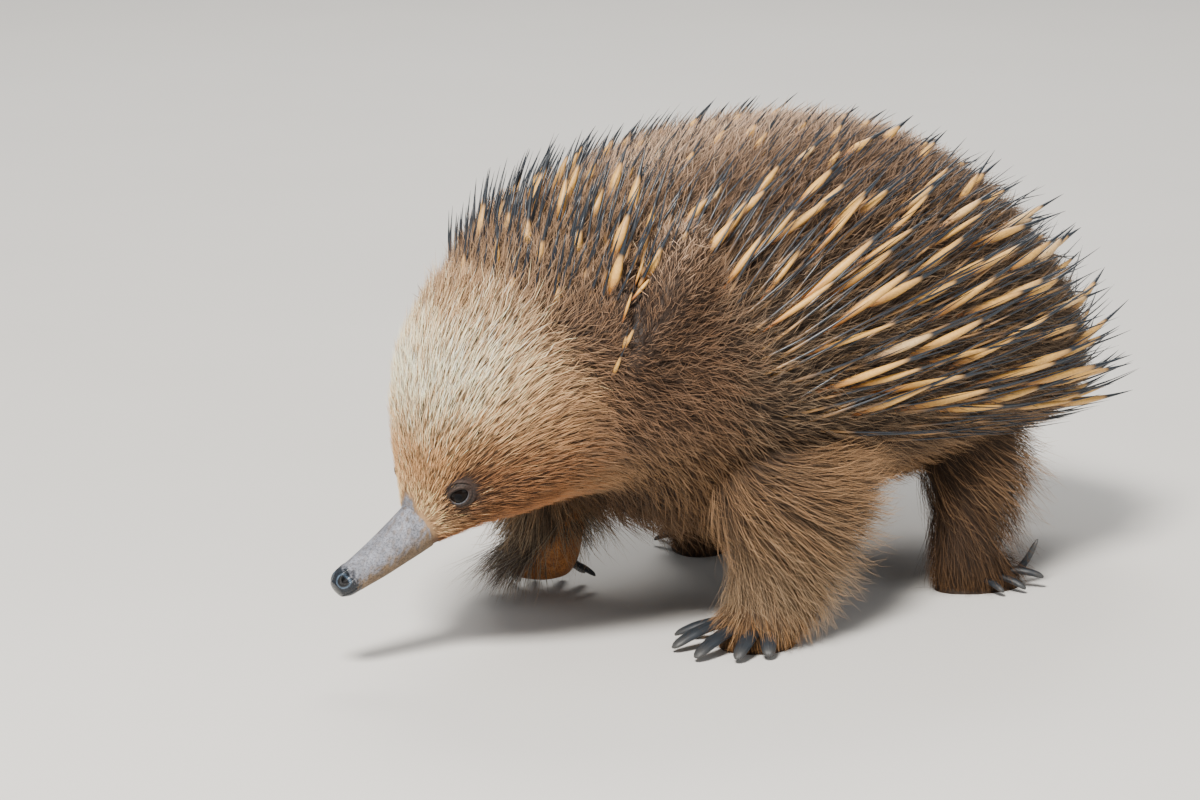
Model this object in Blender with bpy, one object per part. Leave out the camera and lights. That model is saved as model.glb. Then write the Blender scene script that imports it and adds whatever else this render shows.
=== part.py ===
"""Short-beaked echidna of the long-furred island form, walking with its head low.

A still, life-size museum model in metres, +Z up. The animal faces -X and its left side
faces -Y. The origin is on the floor, under the middle of the whole model. The head, neck,
torso and tail are lengths of one lofted body. Legs, feet, ears, claws and eyes are their own
pieces. Every surface stands at the outside of the coat, and spines and long locks rise from it.
"""

import math

import bmesh
import bpy
import numpy as np
from mathutils import Matrix, Vector
from mathutils.bvhtree import BVHTree

GAP = 0.0003
SEED = 11
# The tables are laid out about a point below the shoulders. This moves them to the origin.
SHIFT = Vector((-0.0170, 0.0041, 0.0))

# Stations of the body, from the base of the beak to the rump. Each row holds the centre of a
# section, the pitch and the turn to the right of its forward direction in degrees, and the
# section's half width, height above the centre and depth below it.
BODY_STATIONS = (
    (-0.1535, 0.0034, 0.0555, 31, 15, 0.0102, 0.0102, 0.0098),
    (-0.1472, 0.0022, 0.0610, 35, 14, 0.0175, 0.0190, 0.0125),
    (-0.1395, 0.0010, 0.0675, 38, 13, 0.0262, 0.0305, 0.0165),
    (-0.1285, 0.0000, 0.0770, 39, 11, 0.0380, 0.0420, 0.0250),
    (-0.1120, 0.0000, 0.0895, 35, 8, 0.0505, 0.0530, 0.0355),
    (-0.0890, 0.0000, 0.1010, 25, 5, 0.0615, 0.0580, 0.0465),
    (-0.0580, 0.0000, 0.1080, 12, 2, 0.0730, 0.0690, 0.0580),
    (-0.0230, 0.0000, 0.1100, 4, 0, 0.0845, 0.0790, 0.0670),
    (0.0250, 0.0000, 0.1100, 0, 0, 0.0925, 0.0860, 0.0705),
    (0.0770, 0.0000, 0.1075, 0, 0, 0.0945, 0.0860, 0.0680),
    (0.1220, 0.0000, 0.1005, 0, 0, 0.0870, 0.0755, 0.0570),
    (0.1600, 0.0000, 0.0905, 0, 0, 0.0700, 0.0530, 0.0435),
    (0.1860, 0.0000, 0.0805, 0, 0, 0.0475, 0.0325, 0.0270),
    (0.2000, 0.0000, 0.0745, 0, 0, 0.0215, 0.0145, 0.0125),
)
HEAD_END = 4.45
NECK_END = 6.35
BODY_END = len(BODY_STATIONS) - 1
SECTION_POWER = 0.94

# Lengths of the beak from its root, with the half width, the half height and the lift of the
# middle at each.
BEAK_ROWS = (
    (0.0000, 0.0098, 0.0096, 0.0000),
    (0.0060, 0.0092, 0.0089, -0.0002),
    (0.0140, 0.0083, 0.0080, -0.0003),
    (0.0220, 0.0075, 0.0072, -0.0003),
    (0.0295, 0.0067, 0.0064, 0.0000),
    (0.0345, 0.0063, 0.0059, 0.0003),
    (0.0385, 0.0059, 0.0053, 0.0004),
    (0.0412, 0.0042, 0.0038, 0.0003),
)
BEAK_PITCH, BEAK_TURN = 31, 15
NOSTRIL_AT, NOSTRIL_TURN, NOSTRIL_SIZE = 0.0366, 38.0, (0.0029, 0.0017, 0.0017)
MOUTH_BACK, MOUTH_DROP, MOUTH_GROOVE = 0.0315, 0.0024, 0.00045

EYE_STATION, EYE_ANGLE = 1.66, 16.0
EYE_RADIUS, EYE_SINK = 0.0046, 0.0026
SOCKET_RADIUS = 0.0049
LID_RING, LID_THICK = 0.0050, 0.0014

# Ears: a grid over the body's surface, from the front rim over the slit to the swollen fold.
EAR_TOP, EAR_BOTTOM = (5.93, 43.0), (5.17, 2.0)
EAR_PROFILE = (
    (0.0000, 0.0006),
    (0.0020, 0.0028),
    (0.0045, 0.0022),
    (0.0055, 0.0007),
    (0.0100, 0.0007),
    (0.0112, 0.0064),
    (0.0150, 0.0080),
    (0.0230, 0.0058),
    (0.0310, 0.0022),
    (0.0350, 0.0006),
)
EAR_ROWS = 7

# Level sections of a leg or a foot, from the lowest: x, y, z, half length, half width and the
# turn of the section in degrees.
FORELEG_LEFT = (
    (-0.0275, -0.0710, 0.0193, 0.0205, 0.0190, 0),
    (-0.0245, -0.0705, 0.0280, 0.0225, 0.0205, 0),
    (-0.0190, -0.0695, 0.0400, 0.0275, 0.0230, 0),
    (-0.0140, -0.0670, 0.0520, 0.0345, 0.0260, 0),
    (-0.0110, -0.0610, 0.0650, 0.0390, 0.0280, 0),
    (-0.0090, -0.0520, 0.0780, 0.0360, 0.0270, 0),
)
FOREFOOT_LEFT = (
    (-0.0390, -0.0715, 0.0000, 0.0160, 0.0140, 0),
    (-0.0385, -0.0715, 0.0035, 0.0185, 0.0165, 0),
    (-0.0350, -0.0715, 0.0110, 0.0195, 0.0180, 0),
    (-0.0285, -0.0710, 0.0190, 0.0195, 0.0180, 0),
)
FORELEG_RIGHT = (
    (-0.0375, 0.0500, 0.0293, 0.0165, 0.0160, 0),
    (-0.0365, 0.0505, 0.0370, 0.0205, 0.0185, 0),
    (-0.0330, 0.0525, 0.0480, 0.0265, 0.0215, 0),
    (-0.0270, 0.0540, 0.0600, 0.0335, 0.0245, 0),
    (-0.0210, 0.0520, 0.0720, 0.0350, 0.0250, 0),
)
FOREFOOT_RIGHT = (
    (-0.0400, 0.0500, 0.0075, 0.0075, 0.0070, 0),
    (-0.0405, 0.0500, 0.0095, 0.0125, 0.0115, 0),
    (-0.0405, 0.0500, 0.0150, 0.0160, 0.0145, 0),
    (-0.0395, 0.0500, 0.0220, 0.0165, 0.0155, 0),
    (-0.0378, 0.0500, 0.0290, 0.0155, 0.0150, 0),
)
HINDLEG_LEFT = (
    (0.0890, -0.0690, 0.0173, 0.0160, 0.0150, 0),
    (0.0905, -0.0685, 0.0280, 0.0170, 0.0165, 0),
    (0.0965, -0.0655, 0.0400, 0.0220, 0.0190, 0),
    (0.1010, -0.0595, 0.0520, 0.0270, 0.0230, 0),
    (0.1030, -0.0500, 0.0660, 0.0300, 0.0260, 0),
    (0.1010, -0.0420, 0.0780, 0.0290, 0.0240, 0),
)
HINDFOOT_LEFT = (
    (0.0960, -0.0700, 0.0000, 0.0190, 0.0125, -22),
    (0.0955, -0.0700, 0.0040, 0.0205, 0.0140, -22),
    (0.0930, -0.0695, 0.0110, 0.0185, 0.0145, -18),
    (0.0890, -0.0690, 0.0170, 0.0152, 0.0145, 0),
)
HINDLEG_RIGHT = (
    (0.0620, 0.0570, 0.0173, 0.0160, 0.0150, 0),
    (0.0640, 0.0565, 0.0280, 0.0170, 0.0165, 0),
    (0.0700, 0.0555, 0.0400, 0.0215, 0.0190, 0),
    (0.0760, 0.0535, 0.0520, 0.0265, 0.0225, 0),
    (0.0820, 0.0490, 0.0660, 0.0300, 0.0250, 0),
    (0.0850, 0.0420, 0.0780, 0.0290, 0.0240, 0),
)
HINDFOOT_RIGHT = (
    (0.0650, 0.0600, 0.0000, 0.0190, 0.0125, 40),
    (0.0650, 0.0600, 0.0040, 0.0205, 0.0140, 40),
    (0.0640, 0.0585, 0.0110, 0.0185, 0.0145, 36),
    (0.0620, 0.0570, 0.0170, 0.0152, 0.0145, 0),
)
LEGS = {
    "foreleg_left": (FORELEG_LEFT, "fur_tan"),
    "foreleg_right": (FORELEG_RIGHT, "fur_tan"),
    "hindleg_left": (HINDLEG_LEFT, "fur_brown"),
    "hindleg_right": (HINDLEG_RIGHT, "fur_brown"),
}
FEET = {
    "forefoot_left": (FOREFOOT_LEFT, "fur_tan"),
    "forefoot_right": (FOREFOOT_RIGHT, "fur_tan"),
    "hindfoot_left": (HINDFOOT_LEFT, "fur_brown"),
    "hindfoot_right": (HINDFOOT_RIGHT, "fur_brown"),
}

# Claws: root inside the foot, tip, width, thickness and the rise of the middle of its curve.
CLAWS = {
    "claw_fore_left_1": ((-0.0400, -0.0590, 0.0080), (-0.0570, -0.0430, 0.0022), 0.0061, 0.0038, 0.0016),
    "claw_fore_left_2": ((-0.0430, -0.0620, 0.0085), (-0.0720, -0.0565, 0.0020), 0.0070, 0.0043, 0.0022),
    "claw_fore_left_3": ((-0.0440, -0.0690, 0.0080), (-0.0765, -0.0735, 0.0020), 0.0073, 0.0043, 0.0022),
    "claw_fore_left_4": ((-0.0430, -0.0760, 0.0080), (-0.0665, -0.0865, 0.0020), 0.0068, 0.0041, 0.0020),
    "claw_fore_left_5": ((-0.0400, -0.0780, 0.0080), (-0.0540, -0.0920, 0.0018), 0.0068, 0.0041, 0.0016),
    "claw_fore_right_1": ((-0.0400, 0.0575, 0.0150), (-0.0350, 0.0720, 0.0045), 0.0055, 0.0034, 0.0014),
    "claw_fore_right_2": ((-0.0375, 0.0560, 0.0150), (-0.0240, 0.0705, 0.0030), 0.0060, 0.0039, 0.0018),
    "claw_fore_right_3": ((-0.0350, 0.0525, 0.0150), (-0.0155, 0.0620, 0.0030), 0.0062, 0.0039, 0.0018),
    "claw_fore_right_4": ((-0.0345, 0.0475, 0.0150), (-0.0145, 0.0510, 0.0040), 0.0060, 0.0039, 0.0016),
    "claw_fore_right_5": ((-0.0355, 0.0435, 0.0140), (-0.0190, 0.0400, 0.0055), 0.0053, 0.0034, 0.0012),
    "claw_hind_left_1": ((0.1030, -0.0640, 0.0060), (0.1235, -0.0600, 0.0030), 0.0038, 0.0034, 0.0010),
    "claw_hind_left_2": ((0.1060, -0.0730, 0.0055), (0.1150, -0.0865, 0.0200), 0.0044, 0.0042, -0.0070),
    "claw_hind_left_3": ((0.1020, -0.0760, 0.0060), (0.1120, -0.0925, 0.0050), 0.0042, 0.0038, 0.0016),
    "claw_hind_left_4": ((0.0960, -0.0780, 0.0060), (0.1000, -0.0930, 0.0022), 0.0038, 0.0034, 0.0012),
    "claw_hind_left_5": ((0.0900, -0.0780, 0.0055), (0.0895, -0.0900, 0.0022), 0.0034, 0.0030, 0.0008),
    "claw_hind_right_1": ((0.0770, 0.0570, 0.0060), (0.0900, 0.0570, 0.0030), 0.0038, 0.0034, 0.0010),
    "claw_hind_right_2": ((0.0740, 0.0680, 0.0055), (0.0840, 0.0830, 0.0180), 0.0044, 0.0042, -0.0065),
    "claw_hind_right_3": ((0.0690, 0.0700, 0.0060), (0.0745, 0.0885, 0.0050), 0.0042, 0.0038, 0.0016),
    "claw_hind_right_4": ((0.0630, 0.0690, 0.0060), (0.0640, 0.0840, 0.0022), 0.0038, 0.0034, 0.0012),
    "claw_hind_right_5": ((0.0570, 0.0660, 0.0055), (0.0540, 0.0770, 0.0022), 0.0034, 0.0030, 0.0008),
}
CLAW_RINGS = ((0.00, 0.85), (0.30, 1.00), (0.66, 0.92), (0.91, 0.58))

TAIL_ROOT, TAIL_TIP = (0.1700, 0.0000, 0.0700), (0.2080, 0.0000, 0.0520)
TAIL_RADII = (0.0240, 0.0235, 0.0200, 0.0130)

# Spines: at stations of the body, the lowest angle on the flank and the radius. Then, on top and
# again at the flank's edge, the length above the coat, the lean out of the coat in degrees, and
# the run back and up of the lie.
SPINE_ROWS = (
    (4.55, 64, 0.0012, 0.0120, 36, 0.30, 0.90, 0.0110, 30, 0.35, 0.90),
    (5.40, 50, 0.0015, 0.0150, 36, 0.38, 0.90, 0.0135, 26, 0.45, 0.85),
    (6.20, 24, 0.0016, 0.0140, 37, 0.50, 0.85, 0.0190, 22, 0.60, 0.75),
    (6.60, -2, 0.0017, 0.0110, 36, 0.70, 0.70, 0.0230, 17, 0.80, 0.50),
    (8.00, -22, 0.0018, 0.0095, 34, 0.85, 0.50, 0.0260, 14, 0.95, 0.22),
    (9.50, -30, 0.0018, 0.0100, 33, 0.88, 0.45, 0.0280, 13, 0.98, 0.12),
    (11.00, -42, 0.0018, 0.0120, 30, 0.90, 0.40, 0.0300, 15, 0.98, 0.02),
    (12.00, -60, 0.0018, 0.0160, 28, 0.90, 0.35, 0.0300, 20, 0.98, -0.02),
    (13.00, -80, 0.0017, 0.0200, 27, 0.90, 0.30, 0.0280, 26, 0.98, -0.05),
)
SPINE_SPACING = {"neck": 0.0118, "torso": 0.0158, "tail": 0.0115}
SPINE_SINK = 0.0042
SPINE_RINGS = ((0.0, 0.80), (0.45, 1.0))
LOCK_SINK = 0.0030
LOCK_WIDTH, LOCK_THICK = 0.0088, 0.0027
LOCK_RINGS = ((0.0, 0.75), (0.38, 1.0), (0.74, 0.72))
# Locks on each leg: the lowest row of it that grows them, their length, and their lie at the foot
# and at the top of the leg.
LEG_LOCKS = {
    "foreleg_left": (0.9, 0.034, ((0.16, 0.0, -1.0), (0.85, 0.0, -0.62))),
    "foreleg_right": (0.9, 0.027, ((-0.05, 0.0, -1.0), (0.30, 0.0, -0.90))),
    "hindleg_left": (0.9, 0.023, ((0.05, 0.0, -1.0), (0.20, 0.0, -0.95))),
    "hindleg_right": (0.9, 0.023, ((0.05, 0.0, -1.0), (0.20, 0.0, -0.95))),
}
LEG_LOCK_SPACING = 0.0115
# Locks under the chest and the belly: stations, angles, lie, length, lean and spacing.
FRINGES = {
    "torso": ((6.5, 11.6), (-88, -28), (0.80, 0.0, -0.60), 0.028, 24, 0.0150),
    "neck": ((4.75, 6.25), (-88, -35), (0.55, 0.0, -0.85), 0.024, 34, 0.0130),
}
CLEAR = 0.0006
TRIES = 6000

NODE_COLOURS = {
    "fur_pale": (0.62, 0.47, 0.31, 1.0),
    "fur_brown": (0.25, 0.16, 0.095, 1.0),
    "fur_tan": (0.40, 0.27, 0.15, 1.0),
    "beak_skin": (0.33, 0.30, 0.29, 1.0),
    "claw_horn": (0.10, 0.11, 0.13, 1.0),
    "eye_dark": (0.015, 0.012, 0.010, 1.0),
}


def direction(pitch, turn):
    """Unit vector that points forward, dips by pitch and turns to the animal's right, in degrees."""
    dip, side = math.radians(pitch), math.radians(turn)
    return Vector((-math.cos(dip) * math.cos(side), math.cos(dip) * math.sin(side), -math.sin(dip)))


def smooth_row(rows, t):
    """A row between the rows of a table, on a Catmull-Rom curve through them."""
    table = np.asarray(rows, float)
    last = len(table) - 1
    i = min(int(t), last - 1)
    f = t - i
    before, here = table[max(i - 1, 0)], table[i]
    after, beyond = table[i + 1], table[min(i + 2, last)]
    return 0.5 * (
        2 * here
        + (after - before) * f
        + (2 * before - 5 * here + 4 * after - beyond) * f**2
        + (3 * here - 3 * after + beyond - before) * f**3
    )


def body_section(t):
    """Centre, forward, left and up directions, and half width, height and depth at station t."""
    x, y, z, pitch, turn, wide, high, deep = smooth_row(BODY_STATIONS, t)
    forward = direction(pitch, turn)
    left = Vector((0, 0, 1)).cross(forward).normalized()
    return Vector((x, y, z)), forward, left, forward.cross(left), wide, high, deep


def body_point(t, angle, out=0.0):
    """Point of the body's surface. Angle 0 is its left side and a quarter turn is its top."""
    centre, _, left, up, wide, high, deep = body_section(t)
    c, s = math.cos(angle), math.sin(angle)
    across = math.copysign(abs(c) ** SECTION_POWER, c) * (wide + out)
    rise = math.copysign(abs(s) ** SECTION_POWER, s) * ((high if s > 0 else deep) + out)
    return centre + left * across + up * rise


def body_normal(t, angle):
    step_t, step_a = 0.02, 0.02
    low, high = max(t - step_t, 0), min(t + step_t, BODY_END)
    along = body_point(high, angle) - body_point(low, angle)
    around = body_point(t, angle + step_a) - body_point(t, angle - step_a)
    return along.cross(around).normalized()


def ring_mesh(rings, start_pole=None, end_pole=None):
    """Closed bmesh through rings of equal counts. Each end is a fan to its pole or middle."""
    bm = bmesh.new()
    loops = [[bm.verts.new(p) for p in ring] for ring in rings]
    count = len(rings[0])
    for low, high in zip(loops, loops[1:]):
        for i in range(count):
            j = (i + 1) % count
            bm.faces.new((low[i], low[j], high[j], high[i]))
    for loop, pole, turned in ((loops[0], start_pole, True), (loops[-1], end_pole, False)):
        middle = pole or sum((v.co for v in loop), Vector()) / count
        tip = bm.verts.new(middle)
        for i in range(count):
            j = (i + 1) % count
            bm.faces.new((loop[j], loop[i], tip) if turned else (loop[i], loop[j], tip))
    bmesh.ops.recalc_face_normals(bm, faces=bm.faces)
    if bm.calc_volume(signed=True) < 0:
        bmesh.ops.reverse_faces(bm, faces=bm.faces)
    return bm


def body_length(t0, t1, rings, sides, open_end=False, out=0.0):
    """A length of the body between two stations. A cut end is flat and half the gap short."""
    found = []
    for k in range(rings + 1):
        t = t0 + (t1 - t0) * k / rings
        shift = Vector()
        if k == 0:
            shift = -body_section(t)[1] * (GAP / 2 - out)
        if k == rings and not open_end:
            shift = body_section(t)[1] * (GAP / 2 - out)
        found.append([body_point(t, 2 * math.pi * i / sides, out) + shift for i in range(sides)])
    pole = None
    if open_end:
        centre, forward = body_section(t1)[:2]
        pole = centre - forward * (0.006 + out)
    return ring_mesh(found, end_pole=pole)


def tube(centres, forwards, sizes, sides, lift=Vector((0, 0, 1)), start_pole=None, end_pole=None):
    """Closed mesh of elliptic sections. Each size holds a half width and a half height."""
    rings = []
    for centre, forward, (wide, high) in zip(centres, forwards, sizes):
        across = lift.cross(forward).normalized()
        rise = forward.cross(across).normalized()
        rings.append([
            centre
            + across * (math.cos(2 * math.pi * i / sides) * wide)
            + rise * (math.sin(2 * math.pi * i / sides) * high)
            for i in range(sides)
        ])
    return ring_mesh(rings, start_pole, end_pole)


def column_point(rows, t, angle, out=0.0):
    x, y, z, long, wide, turn = smooth_row(rows, t)
    turn = math.radians(turn)
    a, b = math.cos(angle) * (long + out), math.sin(angle) * (wide + out)
    return Vector((
        x + a * math.cos(turn) - b * math.sin(turn),
        y + a * math.sin(turn) + b * math.cos(turn),
        z,
    ))


def column(rows, rings, sides, out=0.0):
    """Leg or foot through level sections, with a flat lower and upper end."""
    last = len(rows) - 1
    found = []
    for k in range(rings + 1):
        t = last * k / rings
        shift = Vector((0, 0, -out if k == 0 else out if k == rings else 0))
        found.append([column_point(rows, t, 2 * math.pi * i / sides, out) + shift for i in range(sides)])
    return ring_mesh(found)


def ball(centre, radii, around=12, bands=8, turned=None):
    bm = bmesh.new()
    bmesh.ops.create_uvsphere(bm, u_segments=around, v_segments=bands, radius=1)
    for v in bm.verts:
        point = Vector((v.co.x * radii[0], v.co.y * radii[1], v.co.z * radii[2]))
        v.co = centre + (turned @ point if turned else point)
    return bm


def ring_around(centre, axis, ring, thick, around=16, sides=6, stretch=(1.0, 1.0)):
    """Closed torus about an axis. Stretch holds its share along the lids and across them."""
    bm = bmesh.new()
    across = axis.cross(Vector((0, 0, 1))).normalized()
    rise = across.cross(axis).normalized()
    grid = []
    for i in range(around):
        a = 2 * math.pi * i / around
        spoke = across * (math.cos(a) * stretch[0]) + rise * (math.sin(a) * stretch[1])
        middle = centre + spoke * ring
        row = []
        for j in range(sides):
            b = 2 * math.pi * j / sides
            row.append(bm.verts.new(
                middle + spoke * (math.cos(b) * thick) + axis * (math.sin(b) * thick)
            ))
        grid.append(row)
    for i in range(around):
        for j in range(sides):
            k, m = (i + 1) % around, (j + 1) % sides
            bm.faces.new((grid[i][j], grid[k][j], grid[k][m], grid[i][m]))
    bmesh.ops.recalc_face_normals(bm, faces=bm.faces)
    return bm


def object_of(bm, name):
    mesh = bpy.data.meshes.new(name)
    bm.to_mesh(mesh)
    bm.free()
    return bpy.data.objects.new(name, mesh)


def keep_largest(bm):
    """Leaves only the closed surface that encloses most."""
    left = set(bm.faces)
    found = []
    while left:
        queue = [left.pop()]
        island = [queue[0]]
        while queue:
            for edge in queue.pop().edges:
                for face in edge.link_faces:
                    if face in left:
                        left.discard(face)
                        island.append(face)
                        queue.append(face)
        volume = sum(
            f.verts[0].co.dot(f.verts[i].co.cross(f.verts[i + 1].co))
            for f in island
            for i in range(1, len(f.verts) - 1)
        )
        found.append((volume, island))
    found.sort(key=lambda item: item[0])
    doomed = [face for _, island in found[:-1] for face in island]
    if doomed:
        bmesh.ops.delete(bm, geom=doomed, context="FACES")
        loose = [v for v in bm.verts if not v.link_faces]
        bmesh.ops.delete(bm, geom=loose, context="VERTS")
    return bm


def combine(bm, tools, operation, solver="EXACT"):
    """Joins closed meshes to one, or cuts them from it, by one Boolean on their collection."""
    scene = bpy.context.scene
    body = object_of(bm, "work")
    scene.collection.objects.link(body)
    group = bpy.data.collections.new("pieces")
    scene.collection.children.link(group)
    for k, tool in enumerate(tools):
        group.objects.link(object_of(tool, f"piece_{k}"))
    modifier = body.modifiers.new("combine", "BOOLEAN")
    modifier.operation = operation
    modifier.operand_type = "COLLECTION"
    modifier.collection = group
    modifier.solver = solver
    bpy.context.view_layer.update()
    graph = bpy.context.evaluated_depsgraph_get()
    made = bpy.data.meshes.new_from_object(body.evaluated_get(graph))
    for obj in list(group.objects) + [body]:
        bpy.data.objects.remove(obj)
    bpy.data.collections.remove(group)
    result = bmesh.new()
    result.from_mesh(made)
    bmesh.ops.triangulate(result, faces=result.faces)
    return keep_largest(result)


def make_object(name, bm, material):
    bmesh.ops.translate(bm, verts=bm.verts, vec=SHIFT)
    obj = object_of(bm, name)
    bpy.context.scene.collection.objects.link(obj)
    obj.data.materials.clear()
    obj.data.materials.append(material_named(material))
    return obj


def material_named(name):
    found = bpy.data.materials.get(name)
    if found:
        return found
    made = bpy.data.materials.new(name)
    made.use_nodes = True
    shader = made.node_tree.nodes["Principled BSDF"]
    shader.inputs["Base Color"].default_value = NODE_COLOURS[name]
    shader.inputs["Roughness"].default_value = 0.25 if name in ("eye_dark", "claw_horn") else 0.8
    made.diffuse_color = NODE_COLOURS[name]
    return made


def beak_frame():
    root = Vector(BODY_STATIONS[0][:3])
    forward = direction(BEAK_PITCH, BEAK_TURN)
    across = Vector((0, 0, 1)).cross(forward).normalized()
    return root, forward, across, forward.cross(across).normalized()


def beak_mesh(rings=9, sides=14):
    """Beak with two nostril pits near the tip and a short mouth line low on each side."""
    root, forward, across, rise = beak_frame()
    centres, sizes = [], []
    for k in range(rings + 1):
        row = smooth_row(BEAK_ROWS, (len(BEAK_ROWS) - 1) * k / rings)
        along = row[0] + (GAP / 2 if k == 0 else 0)
        centres.append(root + forward * along + rise * row[3])
        sizes.append((row[1], row[2]))
    pole = centres[-1] + forward * 0.0010
    bm = tube(centres, [forward] * (rings + 1), sizes, sides, rise, end_pole=pole)
    tools = []
    lean = math.radians(NOSTRIL_TURN)
    for side in (-1, 1):
        outward = across * (side * math.cos(lean)) + rise * math.sin(lean)
        spot = root + forward * NOSTRIL_AT + outward * 0.0060
        axes = Matrix((forward, outward.cross(forward), outward)).transposed()
        tools.append(ball(spot, NOSTRIL_SIZE, 10, 6, axes))
    tools.append(mouth_groove())
    return combine(bm, tools, "DIFFERENCE")


def mouth_groove():
    """Round bar bent along the beak's lower tip, half sunk in its surface."""
    root, forward, across, rise = beak_frame()
    path = []
    for k in range(13):
        side = -1 + 2 * k / 12
        reach = MOUTH_BACK + (0.0414 - MOUTH_BACK) * (1 - abs(side) ** 2.2)
        rows = [r[0] for r in BEAK_ROWS]
        wide = float(np.interp(reach, rows, [r[1] for r in BEAK_ROWS]))
        wide *= math.sqrt(max(1 - (MOUTH_DROP / 0.0060) ** 2, 0))
        share = math.sin(side * math.pi / 2)
        path.append(root + forward * reach + across * (wide * share) - rise * MOUTH_DROP)
    forwards = [
        (path[min(k + 1, 12)] - path[max(k - 1, 0)]).normalized() for k in range(13)
    ]
    return tube(path, forwards, [(MOUTH_GROOVE, MOUTH_GROOVE)] * 13, 6, rise)


def eye_place(side):
    """Centre of an eye and the direction that it looks."""
    angle = math.radians(EYE_ANGLE if side < 0 else 180 - EYE_ANGLE)
    outward = body_normal(EYE_STATION, angle)
    return body_point(EYE_STATION, angle) - outward * EYE_SINK, outward


def head_mesh():
    """Head with a ring of lid skin round each eye and a socket cut for the eyeball."""
    bm = body_length(0, HEAD_END, 10, 24)
    lids, sockets = [], []
    for side in (-1, 1):
        centre, outward = eye_place(side)
        middle = centre + outward * (EYE_SINK - 0.0002)
        lids.append(ring_around(middle, outward, LID_RING, LID_THICK, stretch=(1.08, 0.94)))
        sockets.append(ball(centre, [SOCKET_RADIUS] * 3, 12, 8))
    bm = combine(bm, lids, "UNION")
    return combine(bm, sockets, "DIFFERENCE")


def ear_mesh(side):
    """Low ear: a front rim, a slit and a swollen fold behind it, laid over the neck's surface."""
    outer, inner = [], []
    for i in range(EAR_ROWS + 1):
        v = i / EAR_ROWS
        bulge = math.sin(math.pi * (0.08 + 0.84 * v))
        t_front = EAR_TOP[0] + (EAR_BOTTOM[0] - EAR_TOP[0]) * v - 0.10 * math.sin(math.pi * v)
        degrees = EAR_TOP[1] + (EAR_BOTTOM[1] - EAR_TOP[1]) * v
        angle = math.radians(degrees if side < 0 else 180 - degrees)
        step = (body_point(t_front + 0.05, angle) - body_point(t_front, angle)).length / 0.05
        top, low = [], []
        for along, height in EAR_PROFILE:
            t = t_front + along * (0.62 + 0.38 * bulge) / step
            outward = body_normal(t, angle)
            point = body_point(t, angle)
            top.append(point + outward * (GAP + 0.0006 + (height - 0.0006) * bulge))
            low.append(point + outward * GAP)
        outer.append(top)
        inner.append(low)
    bm = bmesh.new()
    rows, columns = len(outer), len(outer[0])
    tops = [[bm.verts.new(p) for p in row] for row in outer]
    lows = [[bm.verts.new(p) for p in row] for row in inner]
    for i in range(rows - 1):
        for j in range(columns - 1):
            bm.faces.new((tops[i][j], tops[i][j + 1], tops[i + 1][j + 1], tops[i + 1][j]))
            bm.faces.new((lows[i][j], lows[i + 1][j], lows[i + 1][j + 1], lows[i][j + 1]))
    edge = [(i, 0) for i in range(rows)] + [(rows - 1, j) for j in range(1, columns)]
    edge += [(i, columns - 1) for i in range(rows - 2, -1, -1)]
    edge += [(0, j) for j in range(columns - 2, 0, -1)]
    for (i, j), (k, m) in zip(edge, edge[1:] + edge[:1]):
        bm.faces.new((tops[i][j], tops[k][m], lows[k][m], lows[i][j]))
    bmesh.ops.recalc_face_normals(bm, faces=bm.faces)
    bmesh.ops.triangulate(bm, faces=bm.faces)
    if bm.calc_volume(signed=True) < 0:
        bmesh.ops.reverse_faces(bm, faces=bm.faces)
    return bm


def claw_mesh(name, sides=6, rings=CLAW_RINGS):
    """Long flat claw with a blunt tip, on a curve from inside its foot."""
    start, tip, wide, thick, rise = CLAWS[name]
    start, tip = Vector(start), Vector(tip)
    middle = (start + tip) / 2 + Vector((0, 0, 2 * rise))
    centres, forwards, sizes = [], [], []
    for s, share in rings:
        centres.append(start * (1 - s) ** 2 + middle * (2 * s * (1 - s)) + tip * s**2)
        forwards.append(((middle - start) * (1 - s) + (tip - middle) * s).normalized())
        sizes.append((wide / 2 * share, thick / 2 * share))
    return tube(centres, forwards, sizes, sides, end_pole=tip)


def tail_mesh(rings=4, sides=14):
    start, tip = Vector(TAIL_ROOT), Vector(TAIL_TIP)
    forward = (tip - start).normalized()
    centres = [start + (tip - start) * (k / len(TAIL_RADII)) for k in range(len(TAIL_RADII))]
    sizes = [(radius, radius * 0.92) for radius in TAIL_RADII]
    return tube(centres, [forward] * len(centres), sizes, sides, end_pole=tip)


def spine_row(t):
    rows = np.asarray(SPINE_ROWS)
    return [float(np.interp(t, rows[:, 0], rows[:, k])) for k in range(1, rows.shape[1])]


def tangent_along(flow, outward):
    return (flow - outward * flow.dot(outward)).normalized()


def dart(point, along, outward, length, lean, sink, droop=0.0):
    """Root, knee and tip of a spine or a lock on a surface, leaning out by an angle in degrees."""
    lift = math.radians(lean)
    root = point - outward * sink - along * (0.6 * sink)
    tip = point + along * (length * math.cos(lift)) + outward * (length * math.sin(lift))
    knee = (root + tip) / 2
    if droop:
        knee = knee + outward * (droop * length)
    return root, knee, tip


def dart_point(ends, s):
    root, knee, tip = ends
    return root * (1 - s) ** 2 + knee * (2 * s * (1 - s)) + tip * s**2


def dart_mesh(ends, outward, wide, thick, rings):
    root, knee, tip = ends
    centres = [dart_point(ends, s) for s, _ in rings]
    forwards = [((knee - root) * (1 - s) + (tip - knee) * s).normalized() for s, _ in rings]
    sizes = [(wide * share, thick * share) for _, share in rings]
    return tube(centres, forwards, sizes, 4, outward, end_pole=tip)


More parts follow.
